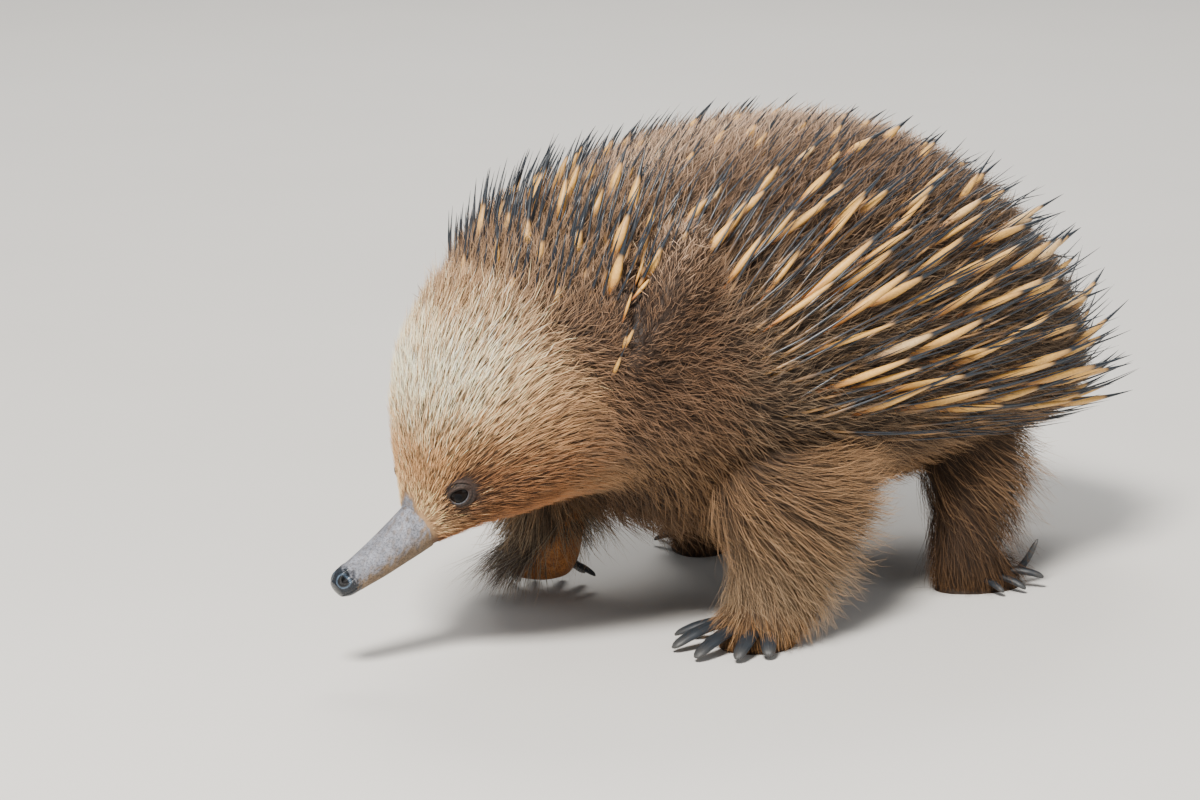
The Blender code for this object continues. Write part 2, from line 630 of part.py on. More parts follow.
def edge_lines(ends, outward, wide, thick, rings, step=0.0016):
    """Points along the middle and the four edges of a dart, to test what it would touch."""
    count = max(int((ends[2] - ends[0]).length / step), 6)
    at = [s for s, _ in rings] + [1.0]
    share = [k for _, k in rings] + [0.05]
    found = []
    for i in range(count + 1):
        s = i / count
        forward = ((ends[1] - ends[0]) * (1 - s) + (ends[2] - ends[1]) * s).normalized()
        across = outward.cross(forward).normalized()
        rise = forward.cross(across)
        size = float(np.interp(s, at, share))
        middle = dart_point(ends, s)
        found.append(middle)
        for offset in (across * wide, -across * wide, rise * thick, -rise * thick):
            found.append(middle + offset * size)
    return found


class Neighbours:
    """Surfaces of the nodes and the darts placed so far, to keep each new dart clear of them."""

    def __init__(self, bases):
        self.trees = {name: BVHTree.FromBMesh(bm) for name, bm in bases.items()}
        self.placed = {name: [] for name in bases}

    def clear(self, name, points):
        if min(p.z for p in points) < 0.0016:
            return False
        for other, tree in self.trees.items():
            if other == name:
                continue
            for p in points:
                spot, outward, _, distance = tree.find_nearest(p, 0.02)
                if spot and (distance < CLEAR or (p - spot).dot(outward) < 0):
                    return False
        cloud = np.array([tuple(p) for p in points])
        middle = cloud.mean(axis=0)
        for other, kept in self.placed.items():
            if other == name:
                continue
            for centre, reach, points_there in kept:
                if np.linalg.norm(centre - middle) > reach + 0.03:
                    continue
                gaps = np.linalg.norm(cloud[:, None] - points_there[None], axis=2)
                if gaps.min() < 0.0022:
                    return False
        return True

    def keep(self, name, points):
        cloud = np.array([tuple(p) for p in points])
        middle = cloud.mean(axis=0)
        self.placed[name].append((middle, np.linalg.norm(cloud - middle, axis=1).max(), cloud))


def grow(name, spots, near, spacing):
    """Places darts on random spots, each at least the spacing from the last, and clear of all."""
    roots, made = [], []
    for spot in spots:
        point, along, outward, length, lean, wide, thick, sink, droop, rings = spot
        if any((point - other).length < spacing for other in roots):
            continue
        for more in (0, 7, 14, -6):
            ends = dart(point, along, outward, length, lean + more, sink, droop)
            points = edge_lines(ends, outward, wide, thick, rings)
            if near.clear(name, points):
                near.keep(name, points)
                roots.append(point)
                made.append(dart_mesh(ends, outward, wide, thick, rings))
                break
    return made


def body_spine(t, angle, rng):
    """One spine of the body's surface, with a little seeded variation."""
    low, radius, *ends = spine_row(t)
    low = math.radians(low)
    half = math.asin(max(min(math.sin(angle), 1), -1))
    share = min(max((half - low) / (math.pi / 2 - low), 0), 1)
    top, edge = np.array(ends[:4]), np.array(ends[4:])
    length, lean, back, up = edge + (top - edge) * share
    flow = Vector((back, rng.normal(0, 0.07), up + rng.normal(0, 0.05)))
    outward = body_normal(t, angle)
    along = tangent_along(flow, outward)
    length *= rng.uniform(0.85, 1.15)
    radius *= rng.uniform(0.88, 1.10)
    lean += rng.normal(0, 2.5)
    point = body_point(t, angle)
    return point, along, outward, length, lean, radius, radius, SPINE_SINK, 0.0, SPINE_RINGS


def body_spines(t0, t1, rng):
    for _ in range(TRIES):
        t = rng.uniform(t0, t1)
        low = math.radians(spine_row(t)[0])
        half = rng.uniform(low, math.pi - low)
        yield body_spine(t, half, rng)


def lock(point, outward, flow, length, rng, lean=16, droop=0.06):
    along = tangent_along(flow, outward)
    length *= rng.uniform(0.85, 1.12)
    wide = LOCK_WIDTH / 2 * rng.uniform(0.85, 1.10)
    return point, along, outward, length, lean, wide, LOCK_THICK / 2, LOCK_SINK, droop, LOCK_RINGS


def fringe_locks(t0, t1, low, high, flow, length, lean, rng):
    """Locks of a strip of the body between two angles below the flank, on both sides."""
    for _ in range(TRIES // 10):
        t = rng.uniform(t0, t1)
        angle = math.radians(rng.uniform(low, high))
        angle = angle if rng.random() < 0.5 else math.pi - angle
        lie = Vector(flow) + Vector((rng.normal(0, 0.08), rng.normal(0, 0.08), 0))
        yield lock(body_point(t, angle), body_normal(t, angle), lie, length, rng, lean)


def leg_locks(rows, low, length, flows, rng):
    """Locks round a leg. The lie turns from the first flow at the foot to the second above."""
    last = len(rows) - 1
    for _ in range(TRIES // 10):
        t = rng.uniform(low, last * 0.92)
        angle = rng.uniform(0, 2 * math.pi)
        point = column_point(rows, t, angle)
        around = column_point(rows, t, angle + 0.02) - point
        rising = column_point(rows, t + 0.02, angle) - point
        outward = around.cross(rising).normalized()
        share = t / last
        lie = Vector(flows[0]) * (1 - share) + Vector(flows[1]) * share
        lie = lie + Vector((rng.normal(0, 0.08), rng.normal(0, 0.08), 0))
        yield lock(point, outward, lie, length * (0.72 + 0.28 * share), rng, 13, 0.05)


def tail_spines(rng):
    start, tip = Vector(TAIL_ROOT), Vector(TAIL_TIP)
    forward = (tip - start).normalized()
    for _ in range(TRIES // 20):
        s = rng.uniform(0.35, 0.95)
        angle = rng.uniform(0, 2 * math.pi)
        radius = float(np.interp(s, [0, 0.25, 0.5, 0.75, 1.0], TAIL_RADII + (0.0,)))
        across = Vector((0, 0, 1)).cross(forward).normalized()
        spoke = across * math.cos(angle) + forward.cross(across) * math.sin(angle)
        outward = (spoke + forward * (0.2 + 0.8 * s)).normalized()
        point = start.lerp(tip, s) + spoke * radius
        flow = Vector((0.97, spoke.y * 0.3, 0.05))
        along = tangent_along(flow, outward)
        yield point, along, outward, 0.019, 34, 0.0016, 0.0016, 0.0030, 0.0, SPINE_RINGS


def plain_nodes():
    """Every node as a closed mesh, before spines and locks are joined to it."""
    found = {"head": head_mesh(), "beak": beak_mesh()}
    found["neck"] = body_length(HEAD_END, NECK_END, 5, 28)
    found["torso"] = body_length(NECK_END, BODY_END, 13, 28, open_end=True)
    found["tail"] = combine(tail_mesh(), [whole_body()], "DIFFERENCE")
    for side, word in ((-1, "left"), (1, "right")):
        found[f"ear_{word}"] = ear_mesh(side)
        found[f"eye_{word}"] = ball(eye_place(side)[0], [EYE_RADIUS] * 3, 12, 8)
    for name, (rows, _) in LEGS.items():
        found[name] = combine(column(rows, 7, 18), [whole_body()], "DIFFERENCE")
    for name, (rows, _) in FEET.items():
        found[name] = column(rows, 4, 16)
    for name in CLAWS:
        _, limb, side, _ = name.split("_")
        foot = column(FEET[f"{limb}foot_{side}"][0], 4, 16, GAP)
        found[name] = combine(claw_mesh(name), [foot], "DIFFERENCE")
    return found


def whole_body():
    """The head, neck and torso in one, fatter by the gap, to cut the legs and the tail."""
    return body_length(0, BODY_END, 34, 40, True, GAP)


def coat_pieces(near):
    """Spines and locks of each node that grows them, none nearer to another node than CLEAR."""
    rng = np.random.default_rng(SEED)
    spines = {
        "neck": body_spines(4.6, 6.3, rng),
        "torso": body_spines(6.4, 12.9, rng),
        "tail": tail_spines(rng),
    }
    found = {name: grow(name, spots, near, SPINE_SPACING[name]) for name, spots in spines.items()}
    for name, (lowest, length, flows) in LEG_LOCKS.items():
        spots = leg_locks(LEGS[name][0], lowest, length, flows, rng)
        found[name] = grow(name, spots, near, LEG_LOCK_SPACING)
    for name, (stations, angles, flow, length, lean, spacing) in FRINGES.items():
        spots = fringe_locks(*stations, *angles, flow, length, lean, rng)
        found[name] += grow(name, spots, near, spacing)
    return found


def main():
    for obj in list(bpy.data.objects):
        bpy.data.objects.remove(obj)
    nodes = plain_nodes()
    for name, pieces in coat_pieces(Neighbours(nodes)).items():
        nodes[name] = combine(nodes[name], pieces, "UNION", "MANIFOLD")
    colours = {"head": "fur_pale", "beak": "beak_skin"}
    colours.update({"eye_left": "eye_dark", "eye_right": "eye_dark"})
    colours.update({name: colour for name, (_, colour) in {**LEGS, **FEET}.items()})
    colours.update({name: "claw_horn" for name in CLAWS})
    for name, bm in nodes.items():
        make_object(name, bm, colours.get(name, "fur_brown"))


main()
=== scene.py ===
"""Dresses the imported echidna: skin, lids, eyes, claws, spines and a coat of mesh tufts.

The tables of the body, the limbs and the claws repeat those of the solids, so that every piece
lies where its node does. The animal faces -X and its left side faces -Y.
"""

import math

import bmesh
import bpy
import numpy as np
from bpy.props import FloatProperty, FloatVectorProperty, IntProperty, PointerProperty
from mathutils import Matrix, Vector
from mathutils.bvhtree import BVHTree
from mathutils.kdtree import KDTree


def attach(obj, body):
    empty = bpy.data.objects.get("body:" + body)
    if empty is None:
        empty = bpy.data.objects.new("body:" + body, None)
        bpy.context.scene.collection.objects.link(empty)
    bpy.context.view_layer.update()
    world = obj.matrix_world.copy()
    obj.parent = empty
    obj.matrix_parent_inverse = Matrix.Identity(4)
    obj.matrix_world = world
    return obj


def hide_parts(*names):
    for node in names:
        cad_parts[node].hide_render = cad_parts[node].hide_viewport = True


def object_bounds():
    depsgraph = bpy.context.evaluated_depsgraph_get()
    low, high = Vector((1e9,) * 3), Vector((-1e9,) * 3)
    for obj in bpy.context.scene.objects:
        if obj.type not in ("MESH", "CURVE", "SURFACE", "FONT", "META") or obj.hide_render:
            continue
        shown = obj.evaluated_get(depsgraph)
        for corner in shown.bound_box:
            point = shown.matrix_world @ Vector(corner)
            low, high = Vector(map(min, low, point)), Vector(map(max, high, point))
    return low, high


bl_info = {
    "name": "Echidna looks",
    "version": (1, 0, 0),
    "blender": (4, 5, 0),
    "location": "View3D > Sidebar > Echidna",
    "description": "Skin, eyes, claws, spines and coat of a life-size echidna",
    "category": "Object",
}

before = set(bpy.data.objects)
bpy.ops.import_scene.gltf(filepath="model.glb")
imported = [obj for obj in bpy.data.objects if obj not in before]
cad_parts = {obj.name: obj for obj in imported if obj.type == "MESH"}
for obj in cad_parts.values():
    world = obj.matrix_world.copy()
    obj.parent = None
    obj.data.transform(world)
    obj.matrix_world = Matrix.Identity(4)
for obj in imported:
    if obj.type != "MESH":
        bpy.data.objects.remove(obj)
CAD_BOX = [list(corner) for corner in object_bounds()]

BODY = "root"
SHIFT = np.array((-0.0170, 0.0041, 0.0))
SIDES = (("left", -1), ("right", 1))
UP = np.array((0.0, 0.0, 1.0))

# Stations of the body from the base of the beak to the rump: the centre of a section, the pitch
# and the turn of its forward direction in degrees, its half width, height and depth.
BODY_STATIONS = (
    (-0.1535, 0.0034, 0.0555, 31, 15, 0.0102, 0.0102, 0.0098),
    (-0.1472, 0.0022, 0.0610, 35, 14, 0.0175, 0.0190, 0.0125),
    (-0.1395, 0.0010, 0.0675, 38, 13, 0.0262, 0.0305, 0.0165),
    (-0.1285, 0.0000, 0.0770, 39, 11, 0.0380, 0.0420, 0.0250),
    (-0.1120, 0.0000, 0.0895, 35, 8, 0.0505, 0.0530, 0.0355),
    (-0.0890, 0.0000, 0.1010, 25, 5, 0.0615, 0.0580, 0.0465),
    (-0.0580, 0.0000, 0.1080, 12, 2, 0.0730, 0.0690, 0.0580),
    (-0.0230, 0.0000, 0.1100, 4, 0, 0.0845, 0.0790, 0.0670),
    (0.0250, 0.0000, 0.1100, 0, 0, 0.0925, 0.0860, 0.0705),
    (0.0770, 0.0000, 0.1075, 0, 0, 0.0945, 0.0860, 0.0680),
    (0.1220, 0.0000, 0.1005, 0, 0, 0.0870, 0.0755, 0.0570),
    (0.1600, 0.0000, 0.0905, 0, 0, 0.0700, 0.0530, 0.0435),
    (0.1860, 0.0000, 0.0805, 0, 0, 0.0475, 0.0325, 0.0270),
    (0.2000, 0.0000, 0.0745, 0, 0, 0.0215, 0.0145, 0.0125),
)
BODY_END = len(BODY_STATIONS) - 1
SECTION_POWER = 0.94

# Lengths of the beak from its root, the half width, the half height and the lift of the middle.
BEAK_ROWS = (
    (0.0000, 0.0098, 0.0096, 0.0000),
    (0.0060, 0.0092, 0.0089, -0.0002),
    (0.0140, 0.0083, 0.0080, -0.0003),
    (0.0220, 0.0075, 0.0072, -0.0003),
    (0.0295, 0.0067, 0.0064, 0.0000),
    (0.0345, 0.0063, 0.0059, 0.0003),
    (0.0385, 0.0059, 0.0053, 0.0004),
    (0.0412, 0.0042, 0.0038, 0.0003),
)
BEAK_LENGTH = BEAK_ROWS[-1][0]
BEAK_PITCH, BEAK_TURN = 31, 15
BEAK_CAP, BEAK_CAP_SPAN = 0.0010, 0.15
NOSTRIL_AT, NOSTRIL_TURN = 0.0362, 38.0
NOSTRIL_LONG, NOSTRIL_WIDE, NOSTRIL_DEEP = 0.0034, 0.0022, 0.0026
MOUTH_BACK, MOUTH_DROP, MOUTH_DEEP = 0.0315, 0.0024, 0.00045

EYE_STATION, EYE_ANGLE = 1.66, 16.0
EYE_RADIUS, EYE_SINK = 0.0046, 0.0026
EYE_OPEN = (0.0039, 0.0028)
EYE_TILT = -14.0
# On the face: metres to a station, and the radius that angles are measured on.
FACE_STEP, FACE_RADIUS = 0.0115, 0.026
# Dark patches of the face: station, angle above the flank, reach and strength.
EYE_PATCHES = ((1.12, 6, 0.0060, 0.75), (0.75, -2, 0.0045, 0.45), (2.15, 24, 0.0055, 0.50))
# Rings of the lids: distance from the opening, what the ring rests on, and its rise there.
LID_RINGS = (
    (-0.00045, "under", 0), (-0.00012, "ball", 0.00005), (0.00002, "ball", 0.00030),
    (0.00025, "ball", 0.00055), (0.00060, "skin", 0), (0.00095, "skin", 0), (0.00130, "skin", 0),
    (0.00165, "skin", 0), (0.00200, "skin", 0), (0.00235, "skin", 0), (0.00270, "skin", 0),
    (0.00310, "skin", 0), (0.00350, "skin", 0), (0.00390, "skin", 0), (0.00430, "skin", 0),
    (0.00475, "skin", 0), (0.00520, "skin", 0), (0.00570, "skin", 0), (0.00630, "skin", 0),
    (0.00700, "edge", -0.0016), (0.00600, "edge", -0.0045), (0.0005, "edge", -0.0045),
)
# Folds of the lids: the lid, height, distance from the opening and breadth.
LID_FOLDS = (
    ("upper", 0.00095, 0.0011, 0.0007), ("upper", -0.00060, 0.0021, 0.00035),
    ("upper", 0.00080, 0.0030, 0.0008), ("lower", 0.00045, 0.0009, 0.0006),
    ("lower", -0.00035, 0.0018, 0.0003), ("lower", 0.00035, 0.0026, 0.0006),
)
LID_SCALE = 0.66

# The ear: station and angle of its top and its bottom, metres to a station there, and its rise at
# metres behind its front rim.
EAR_TOP, EAR_BOTTOM = (5.66, 52.0), (5.02, 14.0)
EAR_STEP = 0.033
EAR_PROFILE = (
    (-0.0060, 0.0000),
    (0.0000, 0.0004),
    (0.0025, 0.0010),
    (0.0044, 0.0000),
    (0.0064, -0.0040),
    (0.0088, -0.0038),
    (0.0118, 0.0046),
    (0.0150, 0.0074),
    (0.0190, 0.0078),
    (0.0240, 0.0062),
    (0.0310, 0.0022),
    (0.0370, 0.0006),
    (0.0440, 0.0000),
)

# Level sections of each limb from its sole: x, y, z, half length, half width, turn in degrees.
LIMBS = {
    "foreleg_left": (
        (-0.0390, -0.0715, 0.0000, 0.0160, 0.0140, 0),
        (-0.0385, -0.0715, 0.0035, 0.0185, 0.0165, 0),
        (-0.0350, -0.0715, 0.0110, 0.0195, 0.0180, 0),
        (-0.0275, -0.0710, 0.0193, 0.0205, 0.0190, 0),
        (-0.0245, -0.0705, 0.0280, 0.0225, 0.0205, 0),
        (-0.0190, -0.0695, 0.0400, 0.0275, 0.0230, 0),
        (-0.0140, -0.0670, 0.0520, 0.0345, 0.0260, 0),
        (-0.0110, -0.0610, 0.0650, 0.0390, 0.0280, 0),
        (-0.0090, -0.0520, 0.0780, 0.0360, 0.0270, 0),
    ),
    "foreleg_right": (
        (-0.0400, 0.0500, 0.0075, 0.0075, 0.0070, 0),
        (-0.0405, 0.0500, 0.0095, 0.0125, 0.0115, 0),
        (-0.0405, 0.0500, 0.0150, 0.0160, 0.0145, 0),
        (-0.0395, 0.0500, 0.0220, 0.0165, 0.0155, 0),
        (-0.0375, 0.0500, 0.0293, 0.0165, 0.0160, 0),
        (-0.0365, 0.0505, 0.0370, 0.0205, 0.0185, 0),
        (-0.0330, 0.0525, 0.0480, 0.0265, 0.0215, 0),
        (-0.0270, 0.0540, 0.0600, 0.0335, 0.0245, 0),
        (-0.0210, 0.0520, 0.0720, 0.0350, 0.0250, 0),
    ),
    "hindleg_left": (
        (0.0960, -0.0700, 0.0000, 0.0190, 0.0125, -22),
        (0.0955, -0.0700, 0.0040, 0.0205, 0.0140, -22),
        (0.0930, -0.0695, 0.0110, 0.0185, 0.0145, -18),
        (0.0890, -0.0690, 0.0173, 0.0160, 0.0150, 0),
        (0.0905, -0.0685, 0.0280, 0.0170, 0.0165, 0),
        (0.0965, -0.0655, 0.0400, 0.0220, 0.0190, 0),
        (0.1010, -0.0595, 0.0520, 0.0270, 0.0230, 0),
        (0.1030, -0.0500, 0.0660, 0.0300, 0.0260, 0),
        (0.1010, -0.0420, 0.0780, 0.0290, 0.0240, 0),
    ),
    "hindleg_right": (
        (0.0650, 0.0600, 0.0000, 0.0190, 0.0125, 40),
        (0.0650, 0.0600, 0.0040, 0.0205, 0.0140, 40),
        (0.0640, 0.0585, 0.0110, 0.0185, 0.0145, 36),
        (0.0620, 0.0570, 0.0173, 0.0160, 0.0150, 0),
        (0.0640, 0.0565, 0.0280, 0.0170, 0.0165, 0),
        (0.0700, 0.0555, 0.0400, 0.0215, 0.0190, 0),
        (0.0760, 0.0535, 0.0520, 0.0265, 0.0225, 0),
        (0.0820, 0.0490, 0.0660, 0.0300, 0.0250, 0),
        (0.0850, 0.0420, 0.0780, 0.0290, 0.0240, 0),
    ),
}
TAIL_ROOT, TAIL_TIP = (0.1700, 0.0000, 0.0700), (0.2080, 0.0000, 0.0520)
TAIL_RADII = (0.0240, 0.0235, 0.0200, 0.0130)

# Claws: root inside the foot, tip, width, thickness and the rise of the middle of the curve.
CLAWS = {
    "claw_fore_left_1": ((-0.0400, -0.0590, 0.0080), (-0.0570, -0.0430, 0.0022), 0.0061, 0.0038, 0.0016),
    "claw_fore_left_2": ((-0.0430, -0.0620, 0.0085), (-0.0720, -0.0565, 0.0020), 0.0070, 0.0043, 0.0022),
    "claw_fore_left_3": ((-0.0440, -0.0690, 0.0080), (-0.0765, -0.0735, 0.0020), 0.0073, 0.0043, 0.0022),
    "claw_fore_left_4": ((-0.0430, -0.0760, 0.0080), (-0.0665, -0.0865, 0.0020), 0.0068, 0.0041, 0.0020),
    "claw_fore_left_5": ((-0.0400, -0.0780, 0.0080), (-0.0540, -0.0920, 0.0018), 0.0068, 0.0041, 0.0016),
    "claw_fore_right_1": ((-0.0400, 0.0575, 0.0150), (-0.0350, 0.0720, 0.0045), 0.0055, 0.0034, 0.0014),
    "claw_fore_right_2": ((-0.0375, 0.0560, 0.0150), (-0.0240, 0.0705, 0.0030), 0.0060, 0.0039, 0.0018),
    "claw_fore_right_3": ((-0.0350, 0.0525, 0.0150), (-0.0155, 0.0620, 0.0030), 0.0062, 0.0039, 0.0018),
    "claw_fore_right_4": ((-0.0345, 0.0475, 0.0150), (-0.0145, 0.0510, 0.0040), 0.0060, 0.0039, 0.0016),
    "claw_fore_right_5": ((-0.0355, 0.0435, 0.0140), (-0.0190, 0.0400, 0.0055), 0.0053, 0.0034, 0.0012),
    "claw_hind_left_1": ((0.1030, -0.0640, 0.0060), (0.1235, -0.0600, 0.0030), 0.0038, 0.0034, 0.0010),
    "claw_hind_left_2": ((0.1060, -0.0730, 0.0055), (0.1150, -0.0865, 0.0200), 0.0044, 0.0042, -0.0070),
    "claw_hind_left_3": ((0.1020, -0.0760, 0.0060), (0.1120, -0.0925, 0.0050), 0.0042, 0.0038, 0.0016),
    "claw_hind_left_4": ((0.0960, -0.0780, 0.0060), (0.1000, -0.0930, 0.0022), 0.0038, 0.0034, 0.0012),
    "claw_hind_left_5": ((0.0900, -0.0780, 0.0055), (0.0895, -0.0900, 0.0022), 0.0034, 0.0030, 0.0008),
    "claw_hind_right_1": ((0.0770, 0.0570, 0.0060), (0.0900, 0.0570, 0.0030), 0.0038, 0.0034, 0.0010),
    "claw_hind_right_2": ((0.0740, 0.0680, 0.0055), (0.0840, 0.0830, 0.0180), 0.0044, 0.0042, -0.0065),
    "claw_hind_right_3": ((0.0690, 0.0700, 0.0060), (0.0745, 0.0885, 0.0050), 0.0042, 0.0038, 0.0016),
    "claw_hind_right_4": ((0.0630, 0.0690, 0.0060), (0.0640, 0.0840, 0.0022), 0.0038, 0.0034, 0.0012),
    "claw_hind_right_5": ((0.0570, 0.0660, 0.0055), (0.0540, 0.0770, 0.0022), 0.0034, 0.0030, 0.0008),
}

# Spines at stations of the body: the lowest angle on the flank and the radius. Then, on top and
# again at the flank's edge, length above the coat, lean in degrees, and run back and up.
SPINE_ROWS = (
    (4.70, 84, 0.0016, 0.0195, 52, 0.22, 0.95, 0.0160, 46, 0.30, 0.92),
    (5.00, 64, 0.0021, 0.0240, 52, 0.28, 0.93, 0.0205, 44, 0.36, 0.90),
    (5.40, 42, 0.0023, 0.0260, 48, 0.34, 0.92, 0.0245, 36, 0.44, 0.86),
    (6.30, 45, 0.0023, 0.0200, 42, 0.46, 0.88, 0.0285, 27, 0.56, 0.80),
    (6.62, 6, 0.0019, 0.0110, 38, 0.66, 0.74, 0.0245, 19, 0.76, 0.56),
    (7.20, -12, 0.0019, 0.0095, 36, 0.78, 0.60, 0.0260, 16, 0.90, 0.34),
    (8.00, -22, 0.0019, 0.0090, 36, 0.85, 0.50, 0.0290, 14, 0.95, 0.22),
    (9.50, -30, 0.0019, 0.0095, 35, 0.88, 0.45, 0.0310, 13, 0.98, 0.12),
    (11.00, -42, 0.0019, 0.0120, 32, 0.90, 0.40, 0.0300, 15, 0.98, 0.02),
    (12.00, -60, 0.0018, 0.0150, 30, 0.90, 0.35, 0.0285, 20, 0.98, -0.02),
    (13.00, -80, 0.0017, 0.0180, 29, 0.90, 0.30, 0.0265, 26, 0.98, -0.05),
)

# At stations of the body: the angle above which thick spines thin out, the spacing of the thick
# and of the thin spines as a share of the setting, and the radius of the thin ones.
THICK_LIMITS = ((4.6, 5.6, 6.4, 7.2, 8.5, 10.5, 12.0, 13.0), (95, 80, 58, 42, 28, 36, 82, 100))
THICK_GAPS = ((4.6, 5.6, 6.4, 7.0, 9.5, 12.5), (1.15, 0.98, 0.94, 0.94, 0.96, 0.90))
THIN_GAPS = ((4.7, 5.6, 6.4, 8.0, 10.0, 12.5), (0.80, 0.84, 0.98, 1.04, 1.16, 1.45))
THIN_RADII = ((4.7, 5.3, 6.4, 7.4), (0.0022, 0.0030, 0.0026, 0.0019))
SPINE_WINDOW = (4.5, 13.0, -math.pi / 2, math.pi * 1.5)
# Radius along a spine, from its root to its tip, as shares.
THICK_PROFILE = (
    (0.0, 0.34), (0.12, 0.56), (0.24, 0.86), (0.34, 1.0), (0.43, 0.91), (0.52, 0.71), (0.60, 0.50),
    (0.69, 0.37), (0.80, 0.25), (0.91, 0.13), (1.0, 0.02),
)
THIN_PROFILE = ((0.0, 0.6), (0.30, 1.0), (0.6, 0.85), (0.8, 0.5), (1.0, 0.03))
# Share of the profile at which the dark tip starts, before each spine's own start is set.
DARK_FROM = 0.6
SPINE_KEYS = ("root", "tip", "outward", "girth", "start", "uv")

# The coat at stations of the body: length, lean out of the skin in degrees and width of a tuft.
COAT_ROWS = (
    (0.0, 0.0036, 13, 0.00025),
    (0.6, 0.0048, 14, 0.00026),
    (1.5, 0.0058, 15, 0.00029),
    (2.5, 0.0074, 18, 0.00033),
    (3.5, 0.0092, 22, 0.00036),
    (4.4, 0.0106, 28, 0.00038),
    (5.2, 0.0110, 36, 0.00039),
    (6.4, 0.0115, 42, 0.00039),
    (12.0, 0.0112, 42, 0.00039),
    (13.0, 0.0105, 40, 0.00039),
)
# The same for a limb, at shares of its height.
LIMB_COAT_ROWS = (
    (0.00, 0.0070, 54, 0.00028),
    (0.05, 0.0080, 34, 0.00028),
    (0.12, 0.0090, 20, 0.00028),
    (0.25, 0.0110, 13, 0.00028),
    (0.40, 0.0150, 14, 0.00029),
    (0.65, 0.0240, 13, 0.00030),
    (1.00, 0.0230, 12, 0.00031),
)
# Lie of each limb's hair at shares of its height.
HIND_LIES = ((0.0, 0.10, 0.0, -1.0), (0.4, 0.20, 0.0, -1.0), (1.0, 0.85, 0.0, -0.50))
LIMB_LIES = {
    "foreleg_left": (
        (0.0, 0.05, 0.0, -1.0), (0.30, 0.08, 0.0, -1.0), (0.45, 0.42, 0.0, -0.95),
        (0.62, 0.95, 0.0, -0.48), (0.85, 1.0, 0.0, -0.02),
    ),
    "foreleg_right": ((0.0, 0.0, 0.0, -1.0), (0.4, 0.20, 0.0, -1.0), (1.0, 0.65, 0.0, -0.70)),
    "hindleg_left": HIND_LIES,
    "hindleg_right": HIND_LIES,
}
# Lie of the hair on the front of each limb, at its sole and at its top.
FRONT_LIES = ((0.10, 0.15, -1.0), (0.45, 0.85, -0.85))
# Share of the coat's depth by which the skin lies inside the solids.
COAT_FILL = 0.95
# Where round the lifted leg its bare palm reaches highest.
PALM_TURN = math.radians(285)
# A draw below the first makes a tuft a long pale guard hair, and above the second a shady one.
GUARD_BELOW, SHADY_ABOVE = 0.28, 0.68
GUARD_TONE, PLAIN_TONE = 1.80, 0.84
# Height above the floor to which hair is held back, and the least height of a hair.
FLOOR_GAP, LEAST_HEIGHT = 0.0008, 0.0007
# How far a spine stays inside the box of the solids.
BOX_GAP = 0.0008
# Side of a tuft's patch on the map, and how far its normals turn to those of the skin.
PATCH = 0.003
SOFTNESS = 0.4

# The camera stands where the photograph was taken from.
VIEW_AZIMUTH, VIEW_ELEVATION, VIEW_DISTANCE, VIEW_LENS = -45.0, 12.0, 2.18, 160.0
VIEW_TARGET = (-0.0304, 0.0256, 0.0840)


def linear(code):
    """Linear colour of a code with two hexadecimal digits each for red, green and blue."""
    parts = [int(code[k:k + 2], 16) / 255 for k in (0, 2, 4)]
    return tuple(p / 12.92 if p <= 0.04045 else ((p + 0.055) / 1.055) ** 2.4 for p in parts)


def colour(name, description, code):
    return FloatVectorProperty(
        name=name, description=description, subtype="COLOR", size=3, min=0, max=1,
        default=linear(code),
    )


def metres(name, description, default):
    return FloatProperty(name=name, description=description, default=default, min=0, unit="LENGTH")


def tally(name, description, default):
    return IntProperty(name=name, description=description, default=default, min=0)


class EchidnaCoat(bpy.types.PropertyGroup):
    """How many tufts each part of the coat has, and how they lie."""

    head_tufts: tally("Head tufts", "Tufts on each half of the head", 26000)
    neck_tufts: tally("Neck tufts", "Tufts on each half of the neck", 20000)
    back_tufts: tally("Back tufts", "Tufts on each half of each length of the torso", 27000)
    foreleg_tufts: tally("Foreleg tufts", "Tufts on the standing foreleg", 12500)
    lifted_tufts: tally("Lifted leg tufts", "Tufts on the lifted foreleg", 8500)
    hindleg_tufts: tally("Hind leg tufts", "Tufts on each hind leg", 6200)
    tail_tufts: tally("Tail tufts", "Tufts on the tail", 3200)
    clump: FloatProperty(
        name="Clumping", description="Share by which tips draw together", default=0.30, min=0, max=1
    )
    clump_size: metres("Clump size", "Distance between clumps on the back", 0.0036)


class EchidnaSpines(bpy.types.PropertyGroup):
    """Sizes of the spines."""

    thick_spacing: metres("Thick spacing", "Least distance between thick spines", 0.0146)
    thin_spacing: metres("Thin spacing", "Least distance between thin spines", 0.0060)
    thin_girth: FloatProperty(
        name="Thin girth", description="Radius of a thin spine as a share of a thick one's",
        default=0.30, min=0.1, max=1,
    )
    sides: tally("Sides", "Sides of a thick spine", 7)
    rings: tally("Rings", "Rings along a thick spine", 11)


